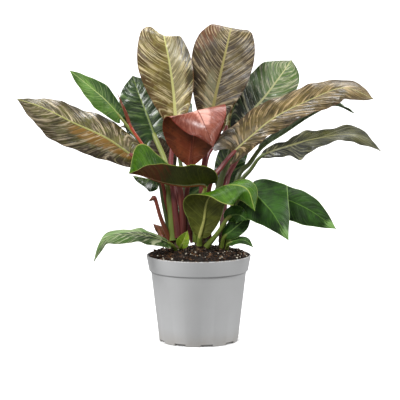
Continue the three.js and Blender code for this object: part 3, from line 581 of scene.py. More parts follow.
# %% The blade's middle surface
FOOT_ROUNDING = 0.35
FOOT_ROUND_LENGTH = 0.06
LEAST_CURL = 1e-4
WAVE_LAG = 0.3
DRIFT_HEIGHT = 0.012
DRIFT_RATE = 1.7
DRIFT_SKEW = 0.45
RUFFLE_SPACING = 27.0
RUFFLE_LAG = 0.37
NORMAL_STEP = 0.006
RUFFLES = {
    "bronze": 1.2, "darkBronze": 0.9, "green": 0.7, "bright": 0.4,
    "dark": 1.2, "red": 0.3, "lime": 0.2, "dry": 0.6,
}


def mix_list(values, t):
    """The value at t of a list spread evenly from 0 to 1."""
    values = np.array(values, float)
    along = t * (len(values) - 1)
    first = np.minimum(along.astype(int), len(values) - 2)
    w = (along - first)[..., None]
    return values[first] * (1 - w) + values[first + 1] * w


def by_hand(pairs, t, right):
    """Foot and tip values for the left and the right half, mixed at t."""
    (foot_left, foot_right), (tip_left, tip_right) = pairs
    foot = np.where(right, foot_right, foot_left)
    return foot + (np.where(right, tip_right, tip_left) - foot) * t


def half_width(leaf, t):
    """Half the width of a blade at t, before it leans or bulges."""
    foot, widen, narrow = leaf["shape"]
    rise = foot + (1 - foot) * (1 - (1 - t) ** widen)
    return np.maximum(leaf["half"] * rise * (1 - t**narrow) ** TIP_SHARPNESS, TIP_HALF_WIDTH)


def bump_at(leaf, t, right):
    """Where one half of the blade bulges for a stretch, by how much wider it is."""
    hand, place, span, share = leaf.get("bump", NO_BUMP)
    return 1 + share * np.exp(-(((t - place) / span) ** 2)) * (right == bool(hand))


def wave(turns):
    """A sine of whole turns."""
    return np.sin(2 * np.pi * turns)


def blade_middle(leaf, t, s):
    """Points of the blade's middle surface."""
    start = stalk_share(leaf)
    place, ahead = leaf_curve(leaf, start + (1 - start) * t)
    side = unit(np.cross(ahead, mix_list(leaf["up"], t)))
    up = np.cross(side, ahead)
    right = s >= 0
    reach = np.abs(s)
    corner = np.clip(1 - t / FOOT_ROUND_LENGTH, 0, 1)
    rounding = 1 - FOOT_ROUNDING * (1 - np.sqrt(1 - corner**2))
    lean = by_hand(leaf.get("lean", EVEN), t, right)
    half = half_width(leaf, t) * bump_at(leaf, t, right) * lean * rounding
    fold = np.radians(by_hand(leaf["fold"], t, right))
    curl = np.radians(np.where(right, leaf["curl"][1], leaf["curl"][0]))
    curl = np.where(curl == 0, LEAST_CURL, curl)
    out = half * (np.sin(fold + curl * reach) - np.sin(fold)) / curl
    lift = half * (np.cos(fold) - np.cos(fold + curl * reach)) / curl
    height, count = leaf["wave"]
    swell = np.sqrt(np.sin(np.pi * np.clip(t, 0, 1)))
    ripple = height * swell * reach**2 * wave(count * t + WAVE_LAG * right)
    drift = leaf["half"] * DRIFT_HEIGHT * swell * reach * wave(DRIFT_RATE * count * t + DRIFT_SKEW * s)
    turns = curve_length(leaf, start, 1) / RUFFLE_SPACING
    ruffle = RUFFLES[leaf["tone"]] * swell * reach**4 * wave(turns * t + RUFFLE_LAG * right)
    spread = np.maximum(0, (reach - LOBE_START) / (1 - LOBE_START))
    back = leaf["lobe"] * (1 - t) ** LOBE_FADE * spread**LOBE_BEND
    offset = np.sign(s)[..., None] * out[..., None] * side + (lift + ripple + drift + ruffle)[..., None] * up
    return place + offset - back[..., None] * ahead


def blade_normal(leaf, t, s):
    """Which way the upper face looks, from the surface a small step before and behind."""
    step = NORMAL_STEP
    along = blade_middle(leaf, np.minimum(t + step, 1), s) - blade_middle(leaf, np.maximum(t - step, 0), s)
    across = blade_middle(leaf, t, np.minimum(s + step, 1)) - blade_middle(leaf, t, np.maximum(s - step, -1))
    return unit(np.cross(across, along))


sample = LEAVES[0]
print(sample["name"], "half width in mm, foot to tip:", half_width(sample, np.linspace(0, 1, 6)).round(1))

# %% Veins of a blade
VEIN_SPACING = 13.5
FEWEST_VEINS = 4
VEIN_RISE = 0.24
VEIN_RISE_FADE = 5
VEIN_ARCH = 1.25
VEIN_LAG = 0.4
ORIGIN_STEPS = 6
UNEVEN_VEINS = ((0.16, 9, 1, 2), (0.1, 23, 3, 0))
QUILT_SHARE = 0.019
QUILT_MOST = 1.0
QUILT_FULLNESS = 0.8
QUILT_LEVEL = 0.6
QUILTS = {
    "bronze": 1.3, "darkBronze": 0.7, "green": 0.7, "bright": 0.5,
    "dark": 1.7, "red": 0.2, "lime": 0.5, "dry": 1.0,
}
UNEVEN_QUILTS = {"by": 0.55, "from_vein": 2.3, "across": 5.1}
QUILT_FADES = {"midrib": 5, "margin": 3.5, "tip": 6}
VEIN_RIDGE = 0.22
VEIN_RIDGE_WIDTH = 0.09
VEIN_RIDGE_FADE = 4


def vein_count(leaf):
    """How many side veins each half of a blade has."""
    return max(FEWEST_VEINS, round(curve_length(leaf, stalk_share(leaf), 1) / VEIN_SPACING))


def vein_phase(leaf, t, s, seed):
    """A number that passes a whole value at each side vein, counted from the foot.

    The origin is the t at which the vein of a point leaves the midrib, found in a few steps."""
    reach = np.abs(s) ** VEIN_ARCH
    origin = t.copy()
    for _ in range(ORIGIN_STEPS):
        origin = t - VEIN_RISE * (1 - (1 - np.clip(origin, 0, 1)) ** VEIN_RISE_FADE) * reach
    right = s > 0
    uneven = sum(size * np.sin(rate * origin + own * seed + side * right)
                 for size, rate, own, side in UNEVEN_VEINS)
    return vein_count(leaf) * origin + uneven + VEIN_LAG * right


def quilting(leaf, t, s, phase):
    """How far the skin swells between two side veins, in millimetres."""
    reach = np.abs(s)
    swell = min(QUILT_MOST, leaf["half"] * QUILT_SHARE) * QUILTS[leaf["tone"]]
    arch = np.abs(np.sin(np.pi * phase)) ** QUILT_FULLNESS - QUILT_LEVEL
    own = UNEVEN_QUILTS["from_vein"] * np.floor(phase) + UNEVEN_QUILTS["across"] * s
    arch *= 1 + UNEVEN_QUILTS["by"] * np.sin(own)
    distances = {"midrib": reach, "margin": 1 - reach, "tip": 1 - t}
    for place, fade in QUILT_FADES.items():
        arch = arch * np.clip(distances[place] * fade, 0, 1)
    return swell * arch


def vein_ridge(t, s, phase):
    """The side veins stand out below, less and less towards the margin."""
    distance = np.abs(phase - np.round(phase))
    ridge = VEIN_RIDGE * np.exp(-((distance / VEIN_RIDGE_WIDTH) ** 2))
    return ridge * (1 - np.abs(s)) * np.clip((1 - t) * VEIN_RIDGE_FADE, 0, 1)


print("side veins of", sample["name"] + ":", vein_count(sample))

# %% [markdown]
# From formula to mesh
#
# The sheet is two grids of points, one for each face, joined by a strip along the margin. A single grid with
# a Solidify modifier would be shorter, but the midrib has to stand out further below than above, and the
# blade is thinner at its margin. The grids carry two maps for the material: the plan (s and t) and the veins.

# %% Mesh helpers
MM = 0.001
SHARP_ANGLE = math.radians(48)


def make_piece(name, materials, points, faces, kinds=None, maps=None):
    """A smooth mesh object from points in millimetres. Kinds gives each face its material's place."""
    mesh = bpy.data.meshes.new(name)
    mesh.from_pydata((np.array(points) * MM).tolist(), [], faces)
    for made in materials:
        mesh.materials.append(made)
    if kinds:
        mesh.polygons.foreach_set("material_index", kinds)
    corners = np.zeros(len(mesh.loops), int)
    mesh.loops.foreach_get("vertex_index", corners)
    for label, values in (maps or {}).items():
        layer = mesh.uv_layers.new(name=label)
        layer.uv.foreach_set("vector", np.array(values, np.float32)[corners].ravel())
    mesh.shade_smooth()
    mesh.set_sharp_from_angle(angle=SHARP_ANGLE)
    mesh.validate()
    piece = bpy.data.objects.new(name, mesh)
    bpy.context.collection.objects.link(piece)
    return piece


def settle(piece, slot, *nodes):
    """The piece rides on the plant's one body and stands for its nodes. The slot is not used."""
    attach(piece, "root")
    if nodes:
        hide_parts(*nodes)


def grid_faces(rows, columns, closed=False):
    """Quads between rows of points. A closed grid joins each row's end to its start."""
    across = np.arange(columns if closed else columns - 1)
    after = (across + 1) % columns
    starts = columns * np.arange(rows - 1)[:, None]
    corners = [starts + across, starts + after, starts + columns + after, starts + columns + across]
    return np.stack(corners, -1).reshape(-1, 4).tolist()


def tube_faces(rows, sides):
    """A closed grid with a lid on its first row and one on its last."""
    last = (rows - 1) * sides
    return grid_faces(rows, sides, closed=True) + [list(range(sides))[::-1], list(range(last, last + sides))]


print("faces of a tube of 3 rows with 4 sides:", len(tube_faces(3, 4)))

# %% Blade mesh
BLADE_THICKNESS = 0.9
MARGIN_THIN = 0.55
CREST_WIDTH = 0.6
CREST_HEIGHT = 0.45
CREST_FADE = 3
LARGE_BLADE = 34
LARGE_GRID = {"rows": 120, "columns": 19}
SMALL_GRID = {"rows": 76, "columns": 11}
FOOT_CROWDING = 1.2
RIB_CROWDING = 1.1
RIB_STEPS = (0, 0.3, 0.58, 0.8, 0.94)
RIB_TAPER = 0.8
RIB_MOST = 0.3
RIB_MAP_END = 4


def blade_grid(leaf):
    """The plan of a blade: t and s of every point, and how far out on the midrib it lies."""
    size = LARGE_GRID if leaf["half"] > LARGE_BLADE else SMALL_GRID
    t = np.linspace(0, 1, size["rows"] + 1) ** FOOT_CROWDING
    rib = leaf["stalk"][1] * (1 - RIB_TAPER * t)
    edge = np.minimum(RIB_MOST, rib / half_width(leaf, t))
    share = np.array(RIB_STEPS)
    outward = np.linspace(0, 1, size["columns"]) ** RIB_CROWDING
    inner = share[None, :] * edge[:, None]
    outer = edge[:, None] + (1 - edge[:, None]) * outward[None, :]
    right = np.hstack([inner, outer])
    s = np.hstack([-right[:, :0:-1], right])
    return np.repeat(t[:, None], s.shape[1], axis=1), s, rib[:, None], edge[:, None]


def blade_mesh(leaf, seed):
    """Points, faces, face kinds and maps of one blade."""
    t, s, rib, edge = blade_grid(leaf)
    phase = vein_phase(leaf, t, s, seed)
    middle = blade_middle(leaf, t, s)
    normal = blade_normal(leaf, t, s)
    dome = np.sqrt(np.clip(1 - (s / edge) ** 2, 0, 1))
    skin = BLADE_THICKNESS / 2 * (1 - MARGIN_THIN * s**2)
    swell = quilting(leaf, t, s, phase)
    crest = np.sqrt(np.clip(1 - (s / edge / CREST_WIDTH) ** 2, 0, 1))
    above = skin + swell + rib * (1 - t) ** CREST_FADE * crest * CREST_HEIGHT
    below = skin - swell + rib * dome + vein_ridge(t, s, phase)
    upper = middle + above[..., None] * normal
    lower = middle - below[..., None] * normal
    rows, columns = s.shape
    count = rows * columns
    top = grid_faces(rows, columns)
    bottom = [[count + corner for corner in reversed(face)] for face in top]
    rim = list(range(columns)) + [row * columns + columns - 1 for row in range(1, rows)]
    rim += [rows * columns - 1 - step for step in range(1, columns)]
    rim += [row * columns for row in range(rows - 2, 0, -1)]
    strip = [[a, count + a, count + b, b] for a, b in zip(rim, rim[1:] + rim[:1])]
    points = np.vstack([upper.reshape(-1, 3), lower.reshape(-1, 3)])
    kinds = [0] * len(top) + [1] * len(bottom) + [0] * len(strip)
    plan = np.stack([(s + 1) / 2, t], -1).reshape(-1, 2)
    veins = np.stack([phase, np.minimum(np.abs(s) / edge, RIB_MAP_END)], -1).reshape(-1, 2)
    maps = {"plan": np.vstack([plan, plan]), "veins": np.vstack([veins, veins])}
    return points, top + bottom + strip, kinds, maps


print("faces of the blade of", sample["name"] + ":", len(blade_mesh(sample, 0)[1]))

# %% [markdown]
# The skin of a leaf
#
# All leaves share one skin and differ in colour: pale midrib, fine side veins, dark blotches of painted shade
# that gather towards the margin, and a thin margin of another colour. A painted picture would blur close up
# and wouldn't fit the curves. A node group reads the two maps of the blade instead, so its lines follow the
# real veins.
# Between the side veins run pale strokes of painted sheen, where the light would catch the swollen skin, and
# beside each vein lies a narrow band of painted shade. Noise breaks all these lines up, because unbroken ones
# would look printed.

# %% Masks of the skin
THREADS = 7.0
THREAD_EDGE = 0.3
VEIN_EDGE = 0.09
RIB_CORE = 0.6
MARGIN_START = 0.95
STROKES_ALONG = 2.6
STROKES_OUT = 1.5
STROKES_WANDER = 7.0
WASH_EDGE = {"ragged": 1.1, "middle": 0.55, "outer": 1.1, "inner": 0.7}


def from_whole(tree, value):
    """How far a value is from the nearest whole number. On a side vein that is 0."""
    return calc(tree, "PINGPONG", value, 0.5)


def vein_masks(tree, plan, veins, rib_width):
    """Where the midrib, the side veins, the fine lines between them and the margin lie.

    The rib width says how much of the raised midrib takes the midrib's colour."""
    reach = calc(tree, "ABSOLUTE", calc(tree, "MULTIPLY_ADD", plan["X"], 2.0, -1.0))
    midrib = ramp(tree, veins["Y"], rib_width, times(tree, rib_width, RIB_CORE))
    lateral = ramp(tree, from_whole(tree, veins["X"]), VEIN_EDGE, 0.0)
    thread = ramp(tree, from_whole(tree, times(tree, veins["X"], THREADS)), THREAD_EDGE, 0.0)
    margin = ramp(tree, reach, MARGIN_START, 1.0)
    return reach, midrib, lateral, thread, margin


def brushed(tree, place, veins, reach):
    """Noise drawn out along the side veins, like brush strokes."""
    along, out = times(tree, veins["X"], STROKES_ALONG), times(tree, reach, STROKES_OUT)
    plan = put(tree, "CombineXYZ", [along, out]).outputs[0]
    feeds = [place, (STROKES_WANDER,) * 3, plan]
    drawn = put(tree, "VectorMath", feeds, operation="MULTIPLY_ADD").outputs[0]
    return speckle(tree, drawn, 1.0, 5.0, 0.62, 0.3)


def wash(tree, plan, centre, size, ragged):
    """A soft patch of the plan with a ragged edge. Its centre and its size are (across, along)."""
    away = put(tree, "VectorMath", [plan, centre], operation="SUBTRACT").outputs[0]
    away = put(tree, "VectorMath", [away, size], operation="DIVIDE").outputs[0]
    far = put(tree, "VectorMath", [away], operation="LENGTH").outputs["Value"]
    far = calc(tree, "SUBTRACT", far, WASH_EDGE["middle"])
    far = calc(tree, "MULTIPLY_ADD", ragged, WASH_EDGE["ragged"], far)
    return ramp(tree, far, WASH_EDGE["outer"], WASH_EDGE["inner"])


print("fine lines between two side veins:", int(THREADS) - 1)

# %% Leaf skin group
# On the leaves the blotch colour is painted shade and the streak colour painted sheen; on the stalks the
# streak colour is their own. The pale and the dusky patch are a painted highlight and painted shade on some
# leaves, and the leaf's own colour on others.
SKIN_COLOURS = ("Deep", "Light", "ShadeBlotch", "Streak", "Vein", "Rib", "Margin")
SKIN_INPUTS = {
    "Plan": "Vector", "Veins": "Vector", "Place": "Vector", **{label: "Color" for label in SKIN_COLOURS},
    "Pale": "Color", "Pale At": "Vector", "Pale Size": "Vector",
    "Dusk": "Color", "Dusk At": "Vector", "Dusk Size": "Vector",
    "Blotches": "Float", "Streaks": "Float", "Lines": "Float", "Gloss": "Float", "Rib Width": "Float",
}
SKIN_OUTPUTS = {"Color": "Color", "Roughness": "Float", "Height": "Float"}
BLOTCHES_OUTWARD = 0.32
BLOTCHES_NOISE = 0.9
VALLEY_SHADE_SHIFT = 0.13
THREAD_SHARE = 0.35
MARGIN_SHARE = 0.8


def patched(tree, given, base, reach, coarse, strokes):
    """Blotches of painted shade that gather towards the margin, then the leaf's pale and dusky patch, a
    painted highlight and painted shade on some leaves and the leaf's own colour on others.
    """
    # Painted shade: blotches of the darkest colour, gathering towards the margin.
    outward = calc(tree, "MULTIPLY_ADD", reach, BLOTCHES_OUTWARD, times(tree, coarse, BLOTCHES_NOISE))
    blotch = times(tree, ramp(tree, outward, 0.56, 0.74), given["Blotches"])
    base = tint(tree, blotch, base, given["ShadeBlotch"])
    # The pale patch is a painted highlight and the dusky patch painted shade on some leaves; on others both
    # are the leaf's own colour.
    for label in ("Pale", "Dusk"):
        share = wash(tree, given["Plan"], given[f"{label} At"], given[f"{label} Size"], strokes)
        base = tint(tree, share, base, given[label])
    return base


def streaked(tree, given, base, phase, strokes):
    """Painted sheen: pale strokes and ribbons between the side veins. Painted shade: a broken dark band
    beside each vein.

    The ribbons come back as a mask too, since the relief raises them."""
    # Painted sheen: the strokes and the ribbons take the pale streak colour.
    between = ramp(tree, from_whole(tree, phase), 0.04, 0.3)
    sheen_stroke = times(tree, ramp(tree, strokes, 0.47, 0.64), times(tree, between, given["Streaks"]))
    base = tint(tree, sheen_stroke, base, given["Streak"])
    sheen_ribbon = ramp(tree, from_whole(tree, times(tree, phase, 2.0)), 0.17, 0.04)
    bunch = ramp(tree, speckle(tree, given["Place"], 42.0, 2.0), 0.48, 0.62)
    sheen_ribbon = times(tree, sheen_ribbon, bunch)
    base = tint(tree, times(tree, sheen_ribbon, given["Streaks"]), base, given["Streak"])
    # Painted shade: a broken band of the deep colour beside each vein.
    valley_shade = from_whole(tree, calc(tree, "ADD", phase, VALLEY_SHADE_SHIFT))
    valley_shade = times(tree, ramp(tree, valley_shade, 0.17, 0.02, 0.0, 0.9), given["Streaks"])
    broken = ramp(tree, speckle(tree, given["Place"], 55.0, 2.0), 0.42, 0.58)
    return tint(tree, times(tree, valley_shade, broken), base, given["Deep"]), sheen_ribbon


def veined(tree, given, base, midrib, lateral, thread, margin):
    """Side veins, fine lines, midrib and margin over the rest."""
    base = tint(tree, times(tree, lateral, given["Lines"]), base, given["Vein"])
    base = tint(tree, times(tree, thread, times(tree, given["Lines"], THREAD_SHARE)), base, given["Vein"])
    base = tint(tree, midrib, base, given["Rib"])
    return tint(tree, times(tree, margin, MARGIN_SHARE), base, given["Margin"])


def leaf_skin_group():
    """The skin that all leaves share. A material feeds it the maps, the colours and the shares."""
    tree, given, result = group("leaf_skin", SKIN_INPUTS, SKIN_OUTPUTS)
    plan = put(tree, "SeparateXYZ", [given["Plan"]]).outputs
    veins = put(tree, "SeparateXYZ", [given["Veins"]]).outputs
    reach, midrib, lateral, thread, margin = vein_masks(tree, plan, veins, given["Rib Width"])
    strokes = brushed(tree, given["Place"], veins, reach)
    soft = speckle(tree, given["Place"], 38.0, 3.0)
    coarse = speckle(tree, given["Place"], 85.0, 6.0, 0.6, 0.6)
    dusting = speckle(tree, given["Place"], 900.0, 2.0)
    base = tint(tree, ramp(tree, soft, 0.32, 0.68), given["Deep"], given["Light"])
    base = patched(tree, given, base, reach, coarse, strokes)
    base, sheen_ribbon = streaked(tree, given, base, veins["X"], strokes)
    base = veined(tree, given, base, midrib, lateral, thread, margin)
    tree.links.new(base, result["Color"])
    rough = calc(tree, "MULTIPLY_ADD", coarse, 0.16, calc(tree, "ADD", given["Gloss"], -0.08))
    tree.links.new(calc(tree, "MULTIPLY_ADD", midrib, 0.15, rough), result["Roughness"])
    height = strokes
    for mask, rise in ((thread, -0.25), (lateral, -0.3), (sheen_ribbon, 0.35), (dusting, 0.08)):
        height = calc(tree, "MULTIPLY_ADD", mask, rise, height)
    tree.links.new(height, result["Height"])
    return tree


LEAF_SKIN = leaf_skin_group()
print("leaf skin:", len(LEAF_SKIN.nodes), "nodes")

# %% Leaf colours
# Colours of each face: deep, light, blotch, streak, vein, rib, margin. The blotch colour is painted shade and
# the streak colour painted sheen; streaks is the share of that sheen and of the painted shade beside the
# veins.
TONES = {
    "bronze": {
        "upper": ("2e240b", "69582d", "2e1b09", "c8ad81", "8b804b", "a19c5f", "60331b"),
        "lower": ("402915", "5d4223", "331e0c", "715335", "6d512e", "856e40", "63341c"),
        "blotches": 0.7, "streaks": 0.7, "coat": 0.25, "shine": 0.45, "rib": 0.8, "stalk": "red",
    },
    "darkBronze": {
        "upper": ("2a1f12", "4a3c27", "211409", "8b7a65", "786b4d", "918656", "492616"),
        "lower": ("342216", "493623", "29170f", "5a4432", "5c4834", "776544", "4e2a1b"),
        "blotches": 0.7, "streaks": 0.6, "coat": 0.2, "shine": 0.4, "rib": 0.8, "stalk": "red",
    },
    "green": {
        "upper": ("162f08", "2f5310", "122408", "4a6f29", "426725", "628140", "7c9945"),
        "lower": ("384e1a", "4c6426", "2f4014", "587237", "688240", "8a9c59", "5f8035"),
        "blotches": 0.5, "streaks": 0.3, "coat": 0.0, "shine": 0.22, "rib": 0.6, "stalk": "green",
    },
    "bright": {
        "upper": ("274a05", "48740a", "203b05", "5e8720", "648825", "899842", "a8af57"),
        "lower": ("404612", "5f6522", "2f310c", "707234", "767a35", "a0a059", "9cb75b"),
        "blotches": 0.4, "streaks": 0.35, "coat": 0.03, "shine": 0.28, "rib": 0.6, "stalk": "green",
    },
    "dark": {
        "upper": ("0f2106", "213d0d", "0b1807", "687f46", "4d6831", "788948", "48622c"),
        "lower": ("202c12", "324422", "1a240f", "445630", "50623a", "6e7e50", "3f5a34"),
        "blotches": 0.5, "streaks": 0.6, "coat": 0.3, "shine": 0.35, "rib": 0.6, "stalk": "olive",
    },
    "red": {
        "upper": ("85412c", "9c654b", "6e2f1a", "bca08c", "a47258", "7e3a28", "772514"),
        "lower": ("67270e", "7f3c1b", "471e08", "8b4b28", "804522", "5e230b", "7b290e"),
        "blotches": 0.7, "streaks": 0.3, "coat": 0.2, "shine": 0.4, "rib": 0.6, "stalk": "red",
    },
    "lime": {
        "upper": ("547012", "7f9a1f", "4a6812", "98aa42", "9eb048", "b0bc60", "9eb048"),
        "lower": ("5c7c22", "7c9e34", "547018", "90ae4c", "96b45a", "aac46c", "a6ca5c"),
        "blotches": 0.3, "streaks": 0.3, "coat": 0.1, "shine": 0.3, "rib": 0.6, "stalk": "green",
    },
    "dry": {
        "upper": ("4c2a18", "744b30", "331c12", "7d5a40", "84604a", "7a4634", "4c2c1c"),
        "lower": ("6a2c20", "86402c", "45201a", "8a5040", "8a5a44", "7c4234", "4c2c1c"),
        "blotches": 0.9, "streaks": 0.4, "coat": 0.0, "shine": 0.3, "rib": 0.6, "stalk": "dry",
    },
}
print("tones:", ", ".join(TONES))

# %% [markdown]
# Leaves with colours of their own
#
# Leaves of one age still differ: where one half turns to the light, it gets a painted highlight, where
# another lies in the shade of its neighbour, painted shade, and a stalk stays green under a bronze blade.
# Each such leaf starts from the tone it is most like and names only what differs. Its pale and its dusky
# patch are soft ovals, given as (colour, centre, size) on the plan of the blade, where a painted picture
# would have to be drawn again for every leaf. On some leaves the pale patch is a painted highlight and the
# dusky patch painted shade; on others they are its own colour.

# %% Leaves with a skin of their own
OWN_SKINS = {
    "tall_left": {
        "like": "bronze",
        "upper": ("4a3e14", "807133", "47250f", "ddcd9e", "beb37b", "c2c178", "623e19"),
        # The pale patch is a painted sheen.
        "pale": ("857c58", (0.64, 0.38, 0.0), (0.17, 0.5, 1.0)),
        "dusk": ("241c06", (0.97, 0.55, 0.0), (0.17, 0.32, 1.0)),
        "streaks": 0.8, "rib": 1.1, "lines": 0.5, "coat": 0.2,
    },
    "tall_right": {
        "like": "darkBronze",
        "upper": ("271a10", "574b23", "221008", "c1ae88", "a59570", "958b52", "402113"),
        # The pale patch is a painted sheen.
        "pale": ("77755a", (0.37, 0.16, 0.0), (0.13, 0.26, 1.0)),
        "dusk": ("553019", (0.1, 0.74, 0.0), (0.2, 0.22, 1.0)),
        "streaks": 0.7, "rib": 1.1, "lines": 0.55, "coat": 0.05,
    },
    "far_left": {
        "like": "bronze",
        "upper": ("2c2412", "5e5a2a", "37210f", "c0af91", "8a8650", "969652", "4c3418"),
        "pale": ("7d5a22", (0.38, 0.25, 0.0), (0.14, 0.3, 1.0)),
        "dusk": ("33251a", (0.04, 0.2, 0.0), (0.16, 0.26, 1.0)),
        "streaks": 0.8, "lines": 0.4,
    },
    "upper_right": {
        "like": "dark",
        "upper": ("1c3011", "3b501f", "11200c", "afac8e", "849064", "abac79", "63803b"),
        "pale": ("4a6528", (0.5, 0.75, 0.0), (0.5, 0.3, 1.0)),
        "dusk": ("0b140a", (0.25, 0.1, 0.0), (0.5, 0.3, 1.0)),
        "streaks": 1.0, "coat": 0.4, "rib": 0.9,
    },
    "low_far_right": {
        "like": "bronze",
        "upper": ("1f210c", "464620", "16170a", "7a7858", "626446", "7c7a4e", "474624"),
        "dusk": ("0f1108", (0.6, 0.12, 0.0), (0.6, 0.34, 1.0)),
        "coat": 0.2, "stalk": "olive",
    },
    "edge_right": {
        "like": "dark",
        "upper": ("223918", "4b6a37", "152710", "d1dac0", "93a87e", "b1c39a", "6f9545"),
        "lower": ("3c4c28", "6c7e50", "2a381c", "8c9c74", "7e8e68", "98a880", "5f8038"),
        "streaks": 0.9,
    },
    "new_red": {
        "like": "red",
        "upper": ("78382a", "91523f", "682416", "bc7e6e", "9c6250", "702e20", "842818"),
        # The pale patch is a painted highlight on the flap.
        "pale": ("cb9283", (0.45, 0.6, 0.0), (0.14, 0.15, 1.0)),
        "streaks": 0.3,
    },
    "upper_left": {
        "like": "green",
        "upper": ("315617", "59822a", "244510", "90ac5c", "87a055", "a9b871", "98ae60"),
        "dusk": ("1d400e", (0.8, 0.3, 0.0), (0.25, 0.5, 1.0)),
        "lines": 0.4,
    },
    "behind_left": {
        "like": "dark",
        "stalk": "green",
    },
    "spear": {
        "like": "red",
        "lower": ("8e3620", "b04c30", "6c2414", "c06a48", "a85434", "7c3016", "9c3418"),
        "stalk": "coral",
    },
    "front_right": {
        "like": "green", "shine": 0.3,
        "upper": ("112605", "2b530f", "0d1e05", "44701e", "3a621d", "547a2a", "8fb062"),
        "pale": ("7ba05a", (0.5, 1.02, 0.0), (0.6, 0.17, 1.0)),
    },
    "low_right": {
        "like": "green", "shine": 0.12,
        "upper": ("102404", "26490c", "0b1a04", "3c641a", "365b18", "4c7024", "8fb062"),
        "pale": ("7ba05a", (0.5, 1.02, 0.0), (0.6, 0.15, 1.0)),
    },
    "low_left": {
        "like": "green",
        "upper": ("203a0e", "3f6223", "152909", "afb491", "6f854d", "8a9c62", "c0c3aa"),
        "pale": ("6c8c50", (0.8, 0.4, 0.0), (0.18, 0.6, 1.0)),
        "dusk": ("11240a", (0.5, 0.2, 0.0), (0.22, 0.4, 1.0)),
        "streaks": 0.8, "rib": 0.5,
    },
    "front_left": {
        "like": "bright",
        # Its lower face is the bright tone's darkened as painted shade; its brown patch is its own colour.
        "lower": ("212505", "33370a", "1c1b05", "404011", "424413", "663815", "9eaa48"),
        "pale": ("4a2409", (0.5, 0.85, 0.0), (0.9, 0.42, 1.0)), "washed": "lower",
    },
}
print("leaves with a skin of their own:", len(OWN_SKINS))

# %% Leaf finishes
NO_WASH = ("000000", (0.5, 0.5, 0.0), (0.001, 0.001, 1.0))
LEAF_SLOTS = {
    "bronze": "bronze_leaf", "darkBronze": "dark_bronze_leaf", "green": "green_leaf", "bright": "bright_leaf",
    "dark": "dark_leaf", "red": "new_red_leaf", "lime": "lime_leaf", "dry": "dry_leaf",
}
GLOSS = {"waxy": 0.3, "satin": 0.5}
SATIN_COAT = 0.03
UPPER_LINES, LOWER_LINES = 0.28, 0.4


def skin_of(name, tone=None):
    """The colours and shares of a tone or of one leaf: its tone's, with its own in their place."""
    own = OWN_SKINS.get(name, {})
    plain = {"pale": NO_WASH, "dusk": NO_WASH, "washed": "upper", "lines": UPPER_LINES}
    return {**plain, **TONES[own.get("like", tone or name)], **own}


def skin_material(name, facts, face):
    """The finish of one face of a leaf. The upper face is waxy and glossy and the lower one satin."""
    waxy = face == "upper" and facts["coat"] > 0
    coat = facts["coat"] if waxy else SATIN_COAT
    made, tree, shader = material(f"{name}_{face}", Coat_Weight=coat, Coat_Roughness=0.16, IOR=1.46,
                                  Specular_IOR_Level=facts["shine"])
    maps = {label: put(tree, "UVMap", uv_map=label.lower()).outputs[0] for label in ("Plan", "Veins")}
    colours = {label: colour(code) for label, code in zip(SKIN_COLOURS, facts[face])}
    washes = {}
    for label in ("Pale", "Dusk"):
        code, centre, size = facts[label.lower()] if face == facts["washed"] else NO_WASH
        washes |= {label: colour(code), f"{label}_At": centre, f"{label}_Size": size}
    skin = use(tree, LEAF_SKIN, Place=object_place(tree), Blotches=facts["blotches"],
               Streaks=facts["streaks"], Lines=facts["lines"] if face == "upper" else LOWER_LINES,
               Gloss=GLOSS["waxy" if waxy else "satin"], Rib_Width=facts["rib"], **maps, **washes, **colours)
    set_finish(tree, shader, skin["Color"], skin["Roughness"], skin["Height"], depth=0.0006)
    return made


def skins_for(name):
    """The materials of the upper and the lower face of a leaf or of a whole tone."""
    facts = skin_of(name)
    return [skin_material(name, facts, face) for face in ("upper", "lower")]


SKINS = {name: skins_for(name) for name in (*TONES, *OWN_SKINS)}
print("leaf finishes:", 2 * len(SKINS))

# %% [markdown]
# The stalks
#
# A stalk is as thick as a finger's tip at the crown, which it clasps with a short sheath, and has a shallow
# channel along its upper side. It thickens for a moment where it meets the blade.
# A curve object with a round bevel has neither channel nor sheath, so rings of points are laid along the
# leaf's own curve. They are turned step by step, which keeps the channel from winding round the stalk.
# Its skin is streaked lengthwise, flecked with short dashes, and paler towards the blade. Noise squeezed
# across the stalk gives such streaks without a seam, because the map is mirrored about the channel.

# %% Stalk mesh
STALK_SIDES = 20
STALK_STEP = 4.0
FEWEST_RINGS = 12
STALK_OVERRUN = 9.0
SHEATH_SWELL = 0.25
SHEATH_FADE = 4
END_ROUNDING = (0.98, 0.86, 0.55)
STALK_MAP_UNIT = 100
CHANNEL_DEPTH = 0.16
CHANNEL_WIDTH = 0.5
KNUCKLE_SWELL = 0.1
KNUCKLE_LENGTH = 9.0


def stalk_centres(leaf):
    """Places and directions from the crown to a little way into the midrib."""
    end = stalk_share(leaf)
    length = curve_length(leaf, 0, end)
    blade = curve_length(leaf, end, 1)
    overrun = STALK_OVERRUN / blade * (1 - end)
    rows = max(FEWEST_RINGS, round(length / STALK_STEP))
    share = np.linspace(0, 1, rows + 1) * (end + overrun)
    return (*leaf_curve(leaf, share), np.clip(share / end, 0, 1), length)


